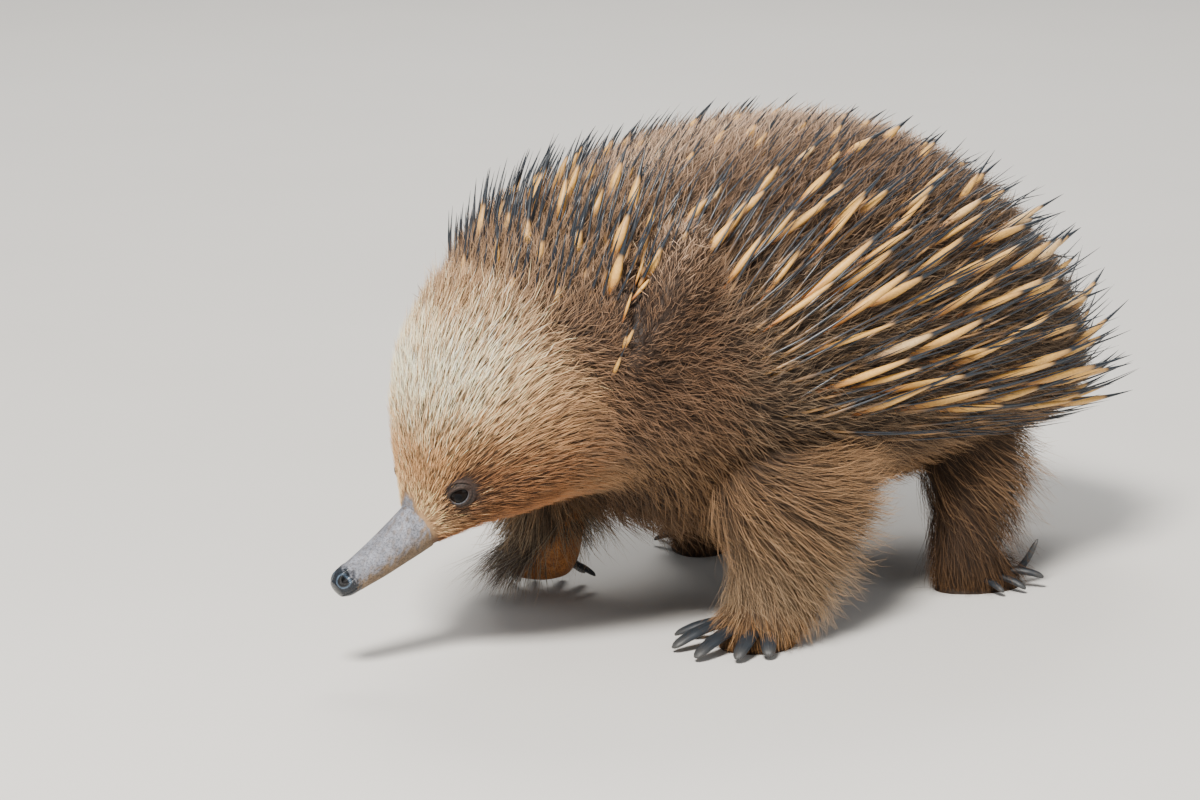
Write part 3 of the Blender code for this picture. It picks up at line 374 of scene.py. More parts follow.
class EchidnaColours(bpy.types.PropertyGroup):
    """Colours of the coat, the spines, the skin and the claws."""

    crown: colour("Crown", "Pale fur of the forehead and crown", "FFE8C0")
    brow: colour("Brow", "Sandy fur above the eye", "B98C5E")
    straw: colour("Straw", "Fur between the crown and the neck", "B99368")
    snout: colour("Snout", "Tan fur of the snout", "F0C08C")
    cheek: colour("Cheek", "Orange-brown fur of the cheek", "7C5434")
    chin: colour("Chin", "Fur under the head", "875730")
    eye_patch: colour("Eye patch", "Dark fur before and behind the eye", "3E271C")
    nape: colour("Nape", "Tips of the fur on the nape", "876C53")
    neck: colour("Neck", "Tips of the fur on the side of the neck", "735740")
    # Pale tips along the top of the back: partly the fur's own colour, partly painted rim light.
    back: colour("Back", "Tips of the fur on the back", "7C624C")
    ridge_with_rim_light: colour("Ridge", "Tips of the fur along the top of the back", "BC9C80")
    flank: colour("Flank", "Tips of the fur on the flank", "725F4A")
    belly: colour("Belly", "Tips of the fur on the belly", "8E6E4E")
    foreleg: colour("Foreleg", "Tips of the long hair of the foreleg", "8E765A")
    paw: colour("Paw", "Fur of the lower legs and paws", "8A6238")
    hindleg: colour("Hind leg", "Tips of the fur of the hind leg", "4C3620")
    lifted: colour("Lifted leg", "Hair of the lifted leg", "9A8970")
    # Roots of the fur and the skin under the coat: partly their own dark colour, partly painted shade deep
    # in the coat.
    under: colour("Underfur", "Roots of the fur and the skin under it", "2E1D12")
    spine_pale: colour("Spine base", "Pale base of a spine", "DEAE5C")
    spine_warm: colour("Spine root", "Warm root of a spine", "98581E")
    spine_dark: colour("Spine tip", "Dark tip of a spine", "0E1116")
    beak_top: colour("Beak top", "Grey skin on top of the beak", "888B96")
    beak_under: colour("Beak underside", "Warm skin under the beak", "7E6850")
    beak_tip: colour("Beak tip", "Moist dark tip of the beak", "20262E")
    lid: colour("Lids", "Bare skin round the eye", "32241D")
    palm: colour("Palm", "Bare skin of the soles", "B07440")
    claw: colour("Claw", "Horn of the claws", "1C2025")


def settings():
    scene = bpy.context.scene
    return scene.echidna_coat, scene.echidna_spines, scene.echidna_colours


def share_of(count):
    """A count of tufts, given back unchanged."""
    return count


def unit(vectors):
    return vectors / np.maximum(np.linalg.norm(vectors, axis=-1, keepdims=True), 1e-12)


def laid(lie, outward):
    """Directions turned to run along a surface."""
    return unit(lie - outward * np.sum(lie * outward, -1, keepdims=True))


def leaning(along, outward, lean, length):
    """Chords of a length, leaning out of a surface by an angle in degrees."""
    lift = np.radians(lean)[:, None]
    return (along * np.cos(lift) + outward * np.sin(lift)) * length[:, None]


def smooth(values, low, high):
    """0 below low, 1 above high, and smooth between."""
    s = np.clip((values - low) / (high - low), 0, 1)
    return s * s * (3 - 2 * s)


def mixed(first, second, share):
    """The first colour or direction where the share is 0, and the second where it is 1."""
    share = np.asarray(share)[..., None]
    return first * (1 - share) + second * share


def rows_at(table, t):
    """Rows between the rows of a table, on Catmull-Rom curves, for an array of places."""
    table = np.asarray(table, float)
    last = len(table) - 1
    t = np.clip(np.asarray(t, float), 0, last)
    i = np.minimum(t.astype(int), last - 1)
    f = (t - i)[..., None]
    before, here = table[np.maximum(i - 1, 0)], table[i]
    after, beyond = table[i + 1], table[np.minimum(i + 2, last)]
    return 0.5 * (
        2 * here
        + (after - before) * f
        + (2 * before - 5 * here + 4 * after - beyond) * f**2
        + (3 * here - 3 * after + beyond - before) * f**3
    )


def column_of(table, t, column):
    """One column of a table, between its rows, for an array of places."""
    table = np.asarray(table)
    return np.interp(t, table[:, 0], table[:, column])


def columns_of(table, t):
    """All the columns of a table but its first, between its rows, for an array of places."""
    return np.stack([column_of(table, t, k) for k in range(1, len(table[0]))], -1)


def direction(pitch, turn):
    """Forward direction from a pitch down and a turn to the right, in degrees."""
    dip, side = np.radians(pitch), np.radians(turn)
    return np.stack((-np.cos(dip) * np.cos(side), np.cos(dip) * np.sin(side), -np.sin(dip)), -1)


def height_angle(v):
    """Angle above the flank in degrees, the same on both sides of the body."""
    return np.degrees(np.arcsin(np.clip(np.sin(v), -1, 1)))


def body_place(t, v, out):
    """Places on the body's loft, moved out. v is 0 on its left side and a quarter turn on top."""
    row = rows_at(BODY_STATIONS, t)
    forward = direction(row[..., 3], row[..., 4])
    left = unit(np.cross(UP, forward))
    up = np.cross(forward, left)
    c, s = np.cos(v), np.sin(v)
    across = np.sign(c) * np.abs(c) ** SECTION_POWER * (row[..., 5] + out)
    rise = np.sign(s) * np.abs(s) ** SECTION_POWER * (np.where(s > 0, row[..., 6], row[..., 7]) + out)
    return row[..., :3] + left * across[..., None] + up * rise[..., None]


def beak_place(t, v):
    """Places on the beak. t is 0 at its root, -1 at its last section, and less on its round end."""
    index = np.clip(-t, 0, 1) * (len(BEAK_ROWS) - 1)
    row = rows_at(BEAK_ROWS, index)
    turn = np.clip((-1 - t) / BEAK_CAP_SPAN, 0, 1) * math.pi / 2
    along = row[..., 0] + BEAK_CAP * np.sin(turn)
    wide, high = row[..., 1] * np.cos(turn), row[..., 2] * np.cos(turn)
    forward = direction(BEAK_PITCH, BEAK_TURN)
    left = unit(np.cross(UP, forward))
    up = np.cross(forward, left)
    dent = nostril_depth(along, v) + mouth_depth(along, np.sin(v) * high)
    across = np.cos(v) * (wide - dent * np.cos(turn))
    rise = np.sin(v) * (high - dent * np.cos(turn)) + row[..., 3]
    root = np.array(BODY_STATIONS[0][:3])
    return root + forward * along[..., None] + left * across[..., None] + up * rise[..., None]


def nostril_reach(along, v):
    """Distance from the middle of the nearer nostril, 1 at its rim."""
    lean = math.radians(NOSTRIL_TURN)
    gap = np.minimum(np.abs(turned(v - lean)), np.abs(turned(v - math.pi + lean)))
    return np.hypot((along - NOSTRIL_AT) / NOSTRIL_LONG, gap * 0.0060 / NOSTRIL_WIDE)


def nostril_depth(along, v):
    reach = nostril_reach(along, v)
    bowl = NOSTRIL_DEEP * np.sqrt(np.clip(1 - reach**2, 0, 1)) * smooth(-reach, -1.0, -0.75)
    return bowl - 0.00035 * np.exp(-((reach - 1.2) / 0.22) ** 2)


def mouth_depth(along, rise):
    line = np.exp(-((rise + MOUTH_DROP) / 0.00038) ** 2)
    return MOUTH_DEEP * line * smooth(along, MOUTH_BACK, MOUTH_BACK + 0.004)


def turned(angle):
    """An angle brought to within half a turn of 0."""
    return (angle + math.pi) % (2 * math.pi) - math.pi


def ear_place(t, v):
    """Share from the top of the ear to its bottom, and metres behind its front rim."""
    degrees = height_angle(v)
    share = (EAR_TOP[1] - degrees) / (EAR_TOP[1] - EAR_BOTTOM[1])
    held = np.clip(share, -0.2, 1.2)
    front = EAR_TOP[0] + (EAR_BOTTOM[0] - EAR_TOP[0]) * held - 0.10 * np.sin(np.pi * np.clip(held, 0, 1))
    return share, (t - front) * EAR_STEP


def ear_rise(t, v):
    """How far the ear stands out of the neck's coat."""
    share, along = ear_place(t, v)
    bulge = smooth(share, -0.12, 0.08) * smooth(-share, -1.10, -0.40)
    bulge = bulge * np.where(along < 0.0105, smooth(-share, -0.85, -0.50), 1.15)
    return column_of(EAR_PROFILE, along / (0.62 + 0.38 * bulge), 1) * bulge


def face_distance(t, degrees, station, angle):
    """Rough distance in metres over the face from a station and an angle above the flank."""
    return np.hypot((t - station) * FACE_STEP, (degrees - angle) * math.radians(1) * FACE_RADIUS)


def eye_distance(t, v):
    """Rough distance in metres from the middle of the nearer eye, over the skin."""
    return face_distance(t, height_angle(v), EYE_STATION, EYE_ANGLE)


def body_coat(t, v):
    """Length, lean in degrees and width of the tufts at places of the body."""
    degrees = height_angle(v)
    length, lean, wide = (column_of(COAT_ROWS, t, k) for k in (1, 2, 3))
    behind = smooth(t, 4.6, 6.6)
    low = smooth(-degrees, 5, 50) * behind
    length = length * (1 + 0.35 * low)
    lean = lean * (1 - 0.28 * low)
    share, along = ear_place(t, v)
    over = smooth(share, -0.15, 0.1) * smooth(-share, -1.15, -0.9)
    slit = over * smooth(along, -0.004, 0.003) * smooth(-along, -0.0120, -0.0085)
    mound = over * smooth(along, 0.0095, 0.012) * smooth(-along, -0.036, -0.026)
    length = length * (1 - 0.74 * slit) * (1 - 0.38 * mound)
    return length, lean, wide


def body_depth(t, v):
    """Depth of the skin under the outside of the coat."""
    length, lean, _ = body_coat(t, v)
    depth = COAT_FILL * length * np.sin(np.radians(lean))
    near_eye = 1 - smooth(eye_distance(t, v), 0.007, 0.014)
    return depth * (1 - near_eye) + 0.0006 * near_eye


def skin_place(t, v):
    """Places on the skin, from the tip of the beak to the rump."""
    t, v = np.broadcast_arrays(np.asarray(t, float), np.asarray(v, float))
    out = ear_rise(t, v) - body_depth(t, v)
    held = np.maximum(t, 0)
    place = body_place(held, v, np.where(t < 0, 0, out))
    return np.where((t < 0)[..., None], beak_place(np.minimum(t, 0), v), place)


def limb_coat(share):
    """Length, lean in degrees and width of the tufts at shares of a limb's height."""
    return [column_of(LIMB_COAT_ROWS, share, k) for k in (1, 2, 3)]


def palm_share(u, v):
    """1 on the bare palm of the lifted leg, which shows below and towards the left."""
    edge = 1.7 + 3.7 * np.clip(np.cos(v - PALM_TURN), 0, 1) ** 1.1
    return 1 - smooth(u, edge - 0.4, edge + 0.4)


def limb_place(rows, palm):
    """The function that gives places on a limb's skin, by row and by angle round it."""
    last = len(rows) - 1

    def place(u, v):
        u, v = np.broadcast_arrays(np.asarray(u, float), np.asarray(v, float))
        row = rows_at(rows, u)
        length, lean, _ = limb_coat(u / last)
        depth = COAT_FILL * length * np.sin(np.radians(lean)) * smooth(u, 0.0, 1.0)
        if palm:
            depth = depth * (1 - palm_share(u, v))
        turn = np.radians(row[..., 5])
        a = np.cos(v) * (row[..., 3] - depth)
        b = np.sin(v) * (row[..., 4] - depth)
        x = row[..., 0] + a * np.cos(turn) - b * np.sin(turn)
        y = row[..., 1] + a * np.sin(turn) + b * np.cos(turn)
        return np.stack((x, y, row[..., 2]), -1)

    return place


def tail_place(u, v):
    """Places on the tail. u is 0 at its root and 1 at its tip."""
    u, v = np.broadcast_arrays(np.asarray(u, float), np.asarray(v, float))
    start, tip = np.array(TAIL_ROOT), np.array(TAIL_TIP)
    forward = unit(tip - start)
    across = unit(np.cross(UP, forward))
    radius = np.interp(u, (0, 0.25, 0.5, 0.75, 0.92, 1), TAIL_RADII + (0.0075, 0.0005)) - 0.0035
    radius = np.maximum(radius, 0.0004)
    spoke = across * np.cos(v)[..., None] + np.cross(forward, across) * np.sin(v)[..., None]
    return start + (tip - start) * u[..., None] + spoke * radius[..., None]


class Surface:
    """A surface over two coordinates: u along it, and v round it in radians."""

    def __init__(self, place, hand):
        self.place = place
        self.hand = hand

    def slopes(self, u, v, step=0.012):
        along = (self.place(u + step, v) - self.place(u - step, v)) / (2 * step)
        around = (self.place(u, v + step) - self.place(u, v - step)) / (2 * step)
        return along, around

    def normal(self, u, v, step=0.03):
        """Directions out of the surface, evened over the step."""
        along, around = self.slopes(u, v, step)
        return unit(np.cross(along, around)) * self.hand


def loft_place(t, v):
    """Places on the body's loft, which is the outside of its coat."""
    return body_place(t, v, np.zeros_like(t))


LOFT = Surface(loft_place, 1)
SKIN = Surface(skin_place, 1)
TAIL = Surface(tail_place, -1)
LIMB_SKINS = {
    name: Surface(limb_place(rows, name == "foreleg_right"), -1) for name, rows in LIMBS.items()
}


def beak_share(t, v):
    """1 on the beak's bare skin, which runs up between the fur in a short tongue."""
    degrees = height_angle(v)
    edge = 0.02 + 0.40 * smooth(degrees, 50, 84) - 0.05 * smooth(-degrees, 10, 60)
    edge = edge + 0.06 * np.sin(v * 23) * np.sin(v * 7 + 1)
    return 1 - smooth(t, edge - 0.08, edge + 0.14)


def bare_share(t, v):
    """1 where the body has no fur: the beak and the lids."""
    beak = beak_share(t, v)
    lids = 1 - smooth(eye_distance(t, v), 0.0046, 0.0062)
    share, along = ear_place(t, v)
    slit = smooth(share, 0.15, 0.30) * smooth(-share, -0.75, -0.60)
    slit = slit * smooth(along, 0.0045, 0.0062) * smooth(-along, -0.0096, -0.0080)
    return np.maximum(np.maximum(beak, lids), 0.35 * slit)


BODY_COLOURS = (
    "crown", "straw", "brow", "snout", "cheek", "chin", "eye_patch", "nape", "neck", "back", "ridge_with_rim_light",
    "flank", "belly",
)


def body_paint(t, v, colours):
    """Colours of the tips of the tufts at places of the body."""
    paint = {name: np.array(getattr(colours, name)) for name in BODY_COLOURS}
    degrees = height_angle(v)
    low = smooth(-degrees, 0, 42)
    face = mixed(paint["cheek"], paint["snout"], smooth(-t, -1.5, -0.3))
    face = mixed(face, paint["brow"], smooth(degrees, 12, 50) * smooth(t, 0.2, 1.6))
    wide = smooth(t + 0.020 * np.minimum(degrees, 62), 2.7, 4.3) * smooth(degrees, -14, 30)
    face = mixed(face, paint["straw"], wide)
    pale = smooth(t + 0.024 * np.minimum(degrees, 66), 3.00, 5.00) * smooth(degrees, 12, 58)
    ebb = t - 0.010 * np.minimum(degrees, 62) + 0.020 * np.maximum(degrees - 70, 0)
    pale = pale * (1 - smooth(ebb, 2.75, 4.05))
    face = mixed(face, paint["crown"], pale * (1 + 0.16 * wool(t * 3, v * 3, 11)))
    face = mixed(face, paint["chin"], low)
    neck = mixed(paint["neck"], paint["nape"], smooth(degrees, 25, 75))
    neck = mixed(neck, paint["belly"], low)
    torso = mixed(paint["flank"], paint["back"], smooth(degrees, 10, 55))
    # The top of the torso paler: pale ridge tips, with painted rim light.
    torso = mixed(torso, paint["ridge_with_rim_light"], smooth(degrees, 66, 84) * (1 - 0.8 * smooth(t, 9.8, 11.8)))
    torso = mixed(torso, paint["belly"], smooth(-degrees, 15, 50))
    edge = 4.42 - 0.60 * smooth(-degrees, -40, 25)
    found = mixed(face, neck, smooth(t, edge - 0.70, edge + 0.55))
    found = mixed(found, torso, smooth(t, 5.8, 6.8))
    # Painted shade under the throat and over the front of the chest.
    throat_shade = smooth(t, 3.2, 4.4) * smooth(-t, -7.2, -6.2) * smooth(-degrees, 38, 62)
    found = found * (1 - 0.50 * throat_shade)[..., None]
    for station, angle, reach, strength in EYE_PATCHES:
        gap = face_distance(t, degrees, station, angle)
        found = mixed(found, paint["eye_patch"], strength * np.exp(-((gap / reach) ** 2)))
    share, along = ear_place(t, v)
    # Painted shade in the ear's furrow: the fur there is darkened.
    over = smooth(share, 0.08, 0.34) * smooth(-share, -0.92, -0.60)
    slit = over * smooth(along, -0.004, 0.0045) * smooth(-along, -0.0175, -0.0085)
    # Painted highlight: the top rim of the ear mound painted in the brightened ridge colour.
    rim = smooth(-share, -0.50, -0.05) * smooth(share, -0.35, -0.05)
    rim = rim * smooth(along, 0.010, 0.014) * smooth(-along, -0.034, -0.022)
    found = mixed(found, paint["ridge_with_rim_light"] * 1.15, 0.9 * rim)
    return found * (1 - 0.92 * slit)[..., None]


def limb_paint(name, share, colours):
    """Colours of the tips of a limb's tufts at shares of its height."""
    top = {"foreleg_left": "foreleg", "foreleg_right": "lifted"}.get(name, "hindleg")
    high, paw, body = (np.array(getattr(colours, key)) for key in (top, "paw", "belly"))
    if name != "foreleg_left":
        paw = (paw + high * 2) / 3
    found = mixed(np.broadcast_to(paw, share.shape + (3,)), high, smooth(share, 0.20, 0.45))
    found = mixed(found, body, smooth(share, 0.62, 0.90))
    # Painted shade: tufts darker near the sole, where the leg meets the floor.
    return found * (0.42 + 0.58 * smooth(share, -0.02, 0.14))[..., None]


def scatter(surface, window, count, rng, thin=None, cells=200):
    """Places over a window of a surface, even by area, and fewer where thin says so."""
    u0, u1, v0, v1 = window
    middle = (np.arange(cells) + 0.5) / cells
    grid_u, grid_v = np.meshgrid(u0 + (u1 - u0) * middle, v0 + (v1 - v0) * middle, indexing="ij")
    weight = np.linalg.norm(np.cross(*surface.slopes(grid_u, grid_v)), axis=-1)
    if thin is not None:
        weight = weight * thin(grid_u, grid_v)
    weight[1::2] = weight[1::2, ::-1].copy()
    total = np.cumsum(weight.ravel())
    picks = (np.arange(count) + rng.random(count)) / count * total[-1]
    i, j = np.divmod(np.searchsorted(total, picks), cells)
    j = np.where(i % 2 == 1, cells - 1 - j, j)
    u = u0 + (u1 - u0) * (i + rng.random(count)) / cells
    return u, v0 + (v1 - v0) * (j + rng.random(count)) / cells


def nearest_clump(u, v, size_u, size_v, rng):
    """The nearest of a jittered grid of clump middles to each place."""
    spread = rng.random((64, 64, 2))
    i0, j0 = np.floor(u / size_u).astype(int), np.floor(v / size_v).astype(int)
    best = np.full(u.shape, 1e9)
    found_u, found_v = u.copy(), v.copy()
    for i in (i0 - 1, i0, i0 + 1):
        for j in (j0 - 1, j0, j0 + 1):
            jitter = spread[i % 64, j % 64]
            at_u, at_v = (i + jitter[:, 0]) * size_u, (j + jitter[:, 1]) * size_v
            gap = ((u - at_u) / size_u) ** 2 + ((v - at_v) / size_v) ** 2
            nearer = gap < best
            best = np.where(nearer, gap, best)
            found_u = np.where(nearer, at_u, found_u)
            found_v = np.where(nearer, at_v, found_v)
    return found_u, found_v


def mesh_of(name, places, triangles):
    """A mesh from arrays, moved from the tables' frame to the model's."""
    mesh = bpy.data.meshes.new(name)
    places = np.asarray(places, np.float32).reshape(-1, 3) + SHIFT
    triangles = np.asarray(triangles, np.int32).reshape(-1, 3)
    mesh.vertices.add(len(places))
    mesh.vertices.foreach_set("co", places.astype(np.float32).ravel())
    mesh.loops.add(triangles.size)
    mesh.loops.foreach_set("vertex_index", triangles.ravel())
    mesh.polygons.add(len(triangles))
    mesh.polygons.foreach_set("loop_start", np.arange(0, triangles.size, 3, dtype=np.int32))
    mesh.polygons.foreach_set("use_smooth", np.ones(len(triangles), bool))
    mesh.update(calc_edges=True)
    return mesh


def give_paint(mesh, name, rgb):
    rgb = np.clip(np.asarray(rgb, np.float32).reshape(-1, 3), 0, 1)
    rgba = np.concatenate([rgb, np.ones((len(rgb), 1), np.float32)], axis=1)
    mesh.color_attributes.new(name, "FLOAT_COLOR", "POINT").data.foreach_set("color", rgba.ravel())


def give_number(mesh, name, values):
    values = np.asarray(values, np.float32).ravel()
    mesh.attributes.new(name, "FLOAT", "POINT").data.foreach_set("value", values)


def give_vector(mesh, name, values):
    values = np.asarray(values, np.float32).ravel()
    mesh.attributes.new(name, "FLOAT_VECTOR", "POINT").data.foreach_set("vector", values)


def give_patches(mesh, uv):
    """The map that the coat's colours are kept by, from a place for each vertex."""
    corners = np.empty(len(mesh.loops), np.int32)
    mesh.loops.foreach_get("vertex_index", corners)
    layer = mesh.uv_layers.new(name="OFBake")
    layer.data.foreach_set("uv", np.asarray(uv, np.float32).reshape(-1, 2)[corners].ravel())


def add_piece(mesh, slot, material, *nodes):
    """Puts a finished mesh in the scene as a piece that stands for some nodes."""
    obj = bpy.data.objects.new(mesh.name, mesh)
    bpy.context.scene.collection.objects.link(obj)
    mesh.materials.clear()
    mesh.materials.append(material)
    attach(obj, BODY)
    if nodes:
        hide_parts(*nodes)
    return obj


def tuft_mesh(name, path, outward, wide, thick, paint, roots):
    """One mesh of many closed tufts. Each path holds a root, one or more rings and a tip."""
    count, levels = path.shape[:2]
    rings = levels - 2
    forward = unit(path[:, 2:] - path[:, :-2])
    side = unit(np.cross(forward, outward[:, None]))
    rise = np.cross(side, forward)
    places, uv, facing = [path[:, 0]], [roots + (-PATCH / 2, 0)], [outward]
    for k in range(rings):
        for turn, edge in ((90, 0.0), (210, -0.5), (330, 0.5)):
            c, s = math.cos(math.radians(turn)), math.sin(math.radians(turn))
            places.append(
                path[:, k + 1]
                - side[:, k] * (c * wide[:, k] * 0.577)[:, None]
                + rise[:, k] * (s * thick[:, k] * 0.5)[:, None]
            )
            facing.append((rise[:, k] * s - side[:, k] * c) * (1 - SOFTNESS) + outward * SOFTNESS)
            uv.append(roots + (PATCH * ((k + 1) / (levels - 1) - 0.5), PATCH * edge))
    places.append(path[:, -1])
    facing.append(outward)
    uv.append(roots + (PATCH / 2, 0))
    last = 1 + 3 * rings
    faces = []
    for i in range(3):
        j = (i + 1) % 3
        faces.append((1 + j, 1 + i, 0))
        for k in range(rings - 1):
            low, high = 1 + 3 * k, 4 + 3 * k
            faces.append((low + i, low + j, high + j))
            faces.append((low + i, high + j, high + i))
        faces.append((last - 3 + i, last - 3 + j, last))
    faces = np.array(faces)[None] + (np.arange(count) * (last + 1))[:, None, None]
    mesh = mesh_of(name, np.stack(places, 1), faces)
    shades = [paint[:, 0]]
    for k in range(rings):
        shades += [paint[:, k + 1]] * 3
    give_paint(mesh, "coat_colour", np.stack(shades + [paint[:, -1]], 1))
    give_patches(mesh, np.clip(np.stack(uv, 1), 0.0005, 0.9995))
    mesh.normals_split_custom_set_from_vertices(unit(np.stack(facing, 1)).reshape(-1, 3))
    return mesh


def tuft_paths(root, along, outward, length, lean, bend, levels):
    """Paths of tufts that leave the skin steeply and bend over to their lie."""
    chord = leaning(along, outward, lean, length)
    bow = outward * (bend * length)[:, None]
    s = np.linspace(0, 1, levels)[None, :, None]
    start = root - outward * 0.0006
    return start[:, None] + chord[:, None] * s + bow[:, None] * (4 * s * (1 - s))


def wool(u, v, seed):
    """Soft uneven patches between -1 and 1 over a surface, from a few sums of waves."""
    rng = np.random.default_rng(seed)
    total = np.zeros_like(u)
    for _ in range(7):
        a, b, phase = rng.normal(0, 5.0), rng.normal(0, 9.0), rng.uniform(0, 6.28)
        total += np.sin(a * u + b * v + phase)
    return total / 3.2


def outline_uv(u, v, window):
    """Places of a window on its map, with a narrow rim left free."""
    u0, u1, v0, v1 = window
    return np.stack(((u - u0) / (u1 - u0), (v - v0) / (v1 - v0)), -1) * 0.98 + 0.01


def dress(name, surface, window, places, style, rng, levels=3, step=0.03):
    """A piece of coat: tufts at places of a surface, with their looks from a style function."""
    u, v = places
    root, outward = surface.place(u, v), surface.normal(u, v, step)
    look = style(u, v, outward, rng)
    coat, _, colours = settings()
    count = len(u)
    kind = rng.random(count)
    guard, shady = kind < GUARD_BELOW, kind > SHADY_ABOVE
    length = look["length"] * rng.uniform(0.72, 1.12, count) * np.where(guard, look["guard"], 0.92)
    lean = look["lean"] + rng.normal(0, 1, count) * look["ruffle"] + np.where(guard, 2.0, -2.0)
    lie = look["lie"] + rng.normal(0, 1, (count, 3)) * np.asarray(look["spread"])[..., None]
    along = laid(lie, outward)
    path = tuft_paths(root, along, outward, length, lean, 0.10, levels)
    s = np.linspace(0, 1, levels)[None, :, None]
    path = path - UP * (look["sag"] * length)[:, None, None] * (4 * s * (1 - s))
    curl = rng.normal(0, 1, (2, count)) * look["curl"] * length
    sideways = np.cross(along, outward)[:, None]
    bow, sweep = curl[0][:, None, None] * np.sin(np.pi * s), curl[1][:, None, None] * s**2
    path = path + sideways * (bow + sweep)
    size_u, size_v = clump_sizes(surface, window, coat.clump_size * look["clump"])
    at_u, at_v = nearest_clump(u, v, size_u, size_v, rng)
    at_u, at_v = np.clip(at_u, window[0], window[1]), np.clip(at_v, window[2], window[3])
    pull = surface.place(at_u, at_v) - root
    path = path + pull[:, None] * (coat.clump * look["clump"] * s**1.5)
    drop = np.maximum(root[:, 2] - path[..., 2].min(axis=1), 1e-6)
    held = np.clip((root[:, 2] - FLOOR_GAP) / drop, 0.2, 1)
    path = root[:, None] + (path - root[:, None]) * held[:, None, None]
    path[..., 2] = np.maximum(path[..., 2], LEAST_HEIGHT)
    shade = np.where(guard, GUARD_TONE, np.where(shady, look["shady"], PLAIN_TONE))
    shade = shade + 0.20 * rng.normal(0, 1, count)
    shade = 1 + (shade - 1) * look["contrast"] + 0.07 * wool(u * 6, v * 4, 3)
    clump_shade = 1 + 0.10 * np.sin(at_u * 911.0 + at_v * 577.0)
    warm = rng.normal(0, 0.03, count)
    tips = look["tips"] * np.clip(shade * clump_shade, 0.18, 2.3)[:, None]
    tips = tips * np.stack((1 + warm, np.ones(count), 1 - warm), -1)
    # Tufts darken from tip to root: partly the fur's darker base, partly painted shade inside the coat.
    dark = np.array(colours.under)
    base = mixed(np.broadcast_to(dark, tips.shape), tips, look["base"])
    paint = np.stack([mixed(base, tips, share ** look["fade"]) for share in np.linspace(0, 1, levels)], 1)
    wide = look["wide"] * rng.uniform(0.75, 1.20, count) * np.where(guard, 0.80, 1.0)
    ring = np.sin(np.pi * np.linspace(0.22, 0.9, levels - 2)) ** 0.6 if levels > 3 else np.ones(1)
    wides = wide[:, None] * ring
    return tuft_mesh(name, path, outward, wides, wides * 0.55, paint, outline_uv(u, v, window))


def clump_sizes(surface, window, size):
    """Steps in u and v that cover about the clump size at the middle of a window."""
    u, v = np.array([(window[0] + window[1]) / 2]), np.array([(window[2] + window[3]) / 2])
    along, around = surface.slopes(u, v)
    return size / np.linalg.norm(along), size / np.linalg.norm(around)


def spine_lie(t, v):
    """Length above the coat, lean, radius and lie of the spines at places of the body."""
    row = columns_of(SPINE_ROWS, t)
    degrees = height_angle(v)
    share = np.clip((degrees - row[..., 0]) / (90 - row[..., 0]), 0, 1)
    ends = row[..., 6:] + (row[..., 2:6] - row[..., 6:]) * share[..., None]
    flow = np.stack((ends[..., 2], np.zeros_like(share), ends[..., 3]), -1)
    length = row[..., 6] + (row[..., 2] - row[..., 6]) * share**1.6
    return length, ends[..., 1], row[..., 1], flow, degrees - row[..., 0]


def body_style(colours):
    """The style function of the body's coat."""

    def style(t, v, outward, rng):
        length, lean, wide = body_coat(t, v)
        stray = 0.16 + 0.22 * smooth(t, 0.5, 1.6) * smooth(-t, -5.0, -4.2)
        stray = stray * np.where(rng.random(t.shape) < 0.3, 2.2, 0.8)
        tips = body_paint(t + rng.normal(0, 1, t.shape) * stray, v + rng.normal(0, 0.08, t.shape), colours)
        degrees = height_angle(v)
        back = unit(SKIN.slopes(t, v)[0])
        cheek = smooth(-degrees, -40, 30)
        face = back + np.array((0.10, 0.0, -0.32)) * cheek[..., None]
        _, _, _, flow, above = spine_lie(np.maximum(t, 4.7), v)
        low = smooth(-above, 0, 55)
        rear = mixed(unit(flow), np.array((0.86, 0.0, -0.50)), low)
        body = smooth(t, 3.8, 5.4)
        fringe = smooth(t, 4.9, 5.7) * smooth(-t, -7.4, -6.4) * smooth(-degrees, 22, 44)
        woolly = body * (1 - 0.65 * smooth(-degrees, 0, 35))
        lie = mixed(face, rear, smooth(t, 3.9, 4.9))
        lie = mixed(lie, np.array((0.36, 0.0, -1.0)), 0.75 * fringe)
        nape = smooth(t, 3.9, 4.5) * smooth(-t, -5.7, -5.1) * smooth(degrees, 40, 70)
        length, lean = length * (1 + 0.90 * fringe + 0.45 * nape), lean + 12 * nape
        return {
            "length": length, "lean": lean, "wide": wide, "lie": lie, "tips": tips, "guard": 1.25,
            "base": 0.28 - 0.20 * body, "fade": 0.9 + 0.8 * body, "shady": 0.46 - 0.18 * body,
            "clump": 0.55 + 0.45 * np.mean(body), "contrast": 1.14 + 0.08 * body + 0.35 * fringe,
            "spread": 0.11 + 0.20 * woolly, "ruffle": 4.0 + 6.5 * woolly, "curl": 0.03 + 0.09 * woolly,
            "sag": 0.10 * fringe,
        }

    return style


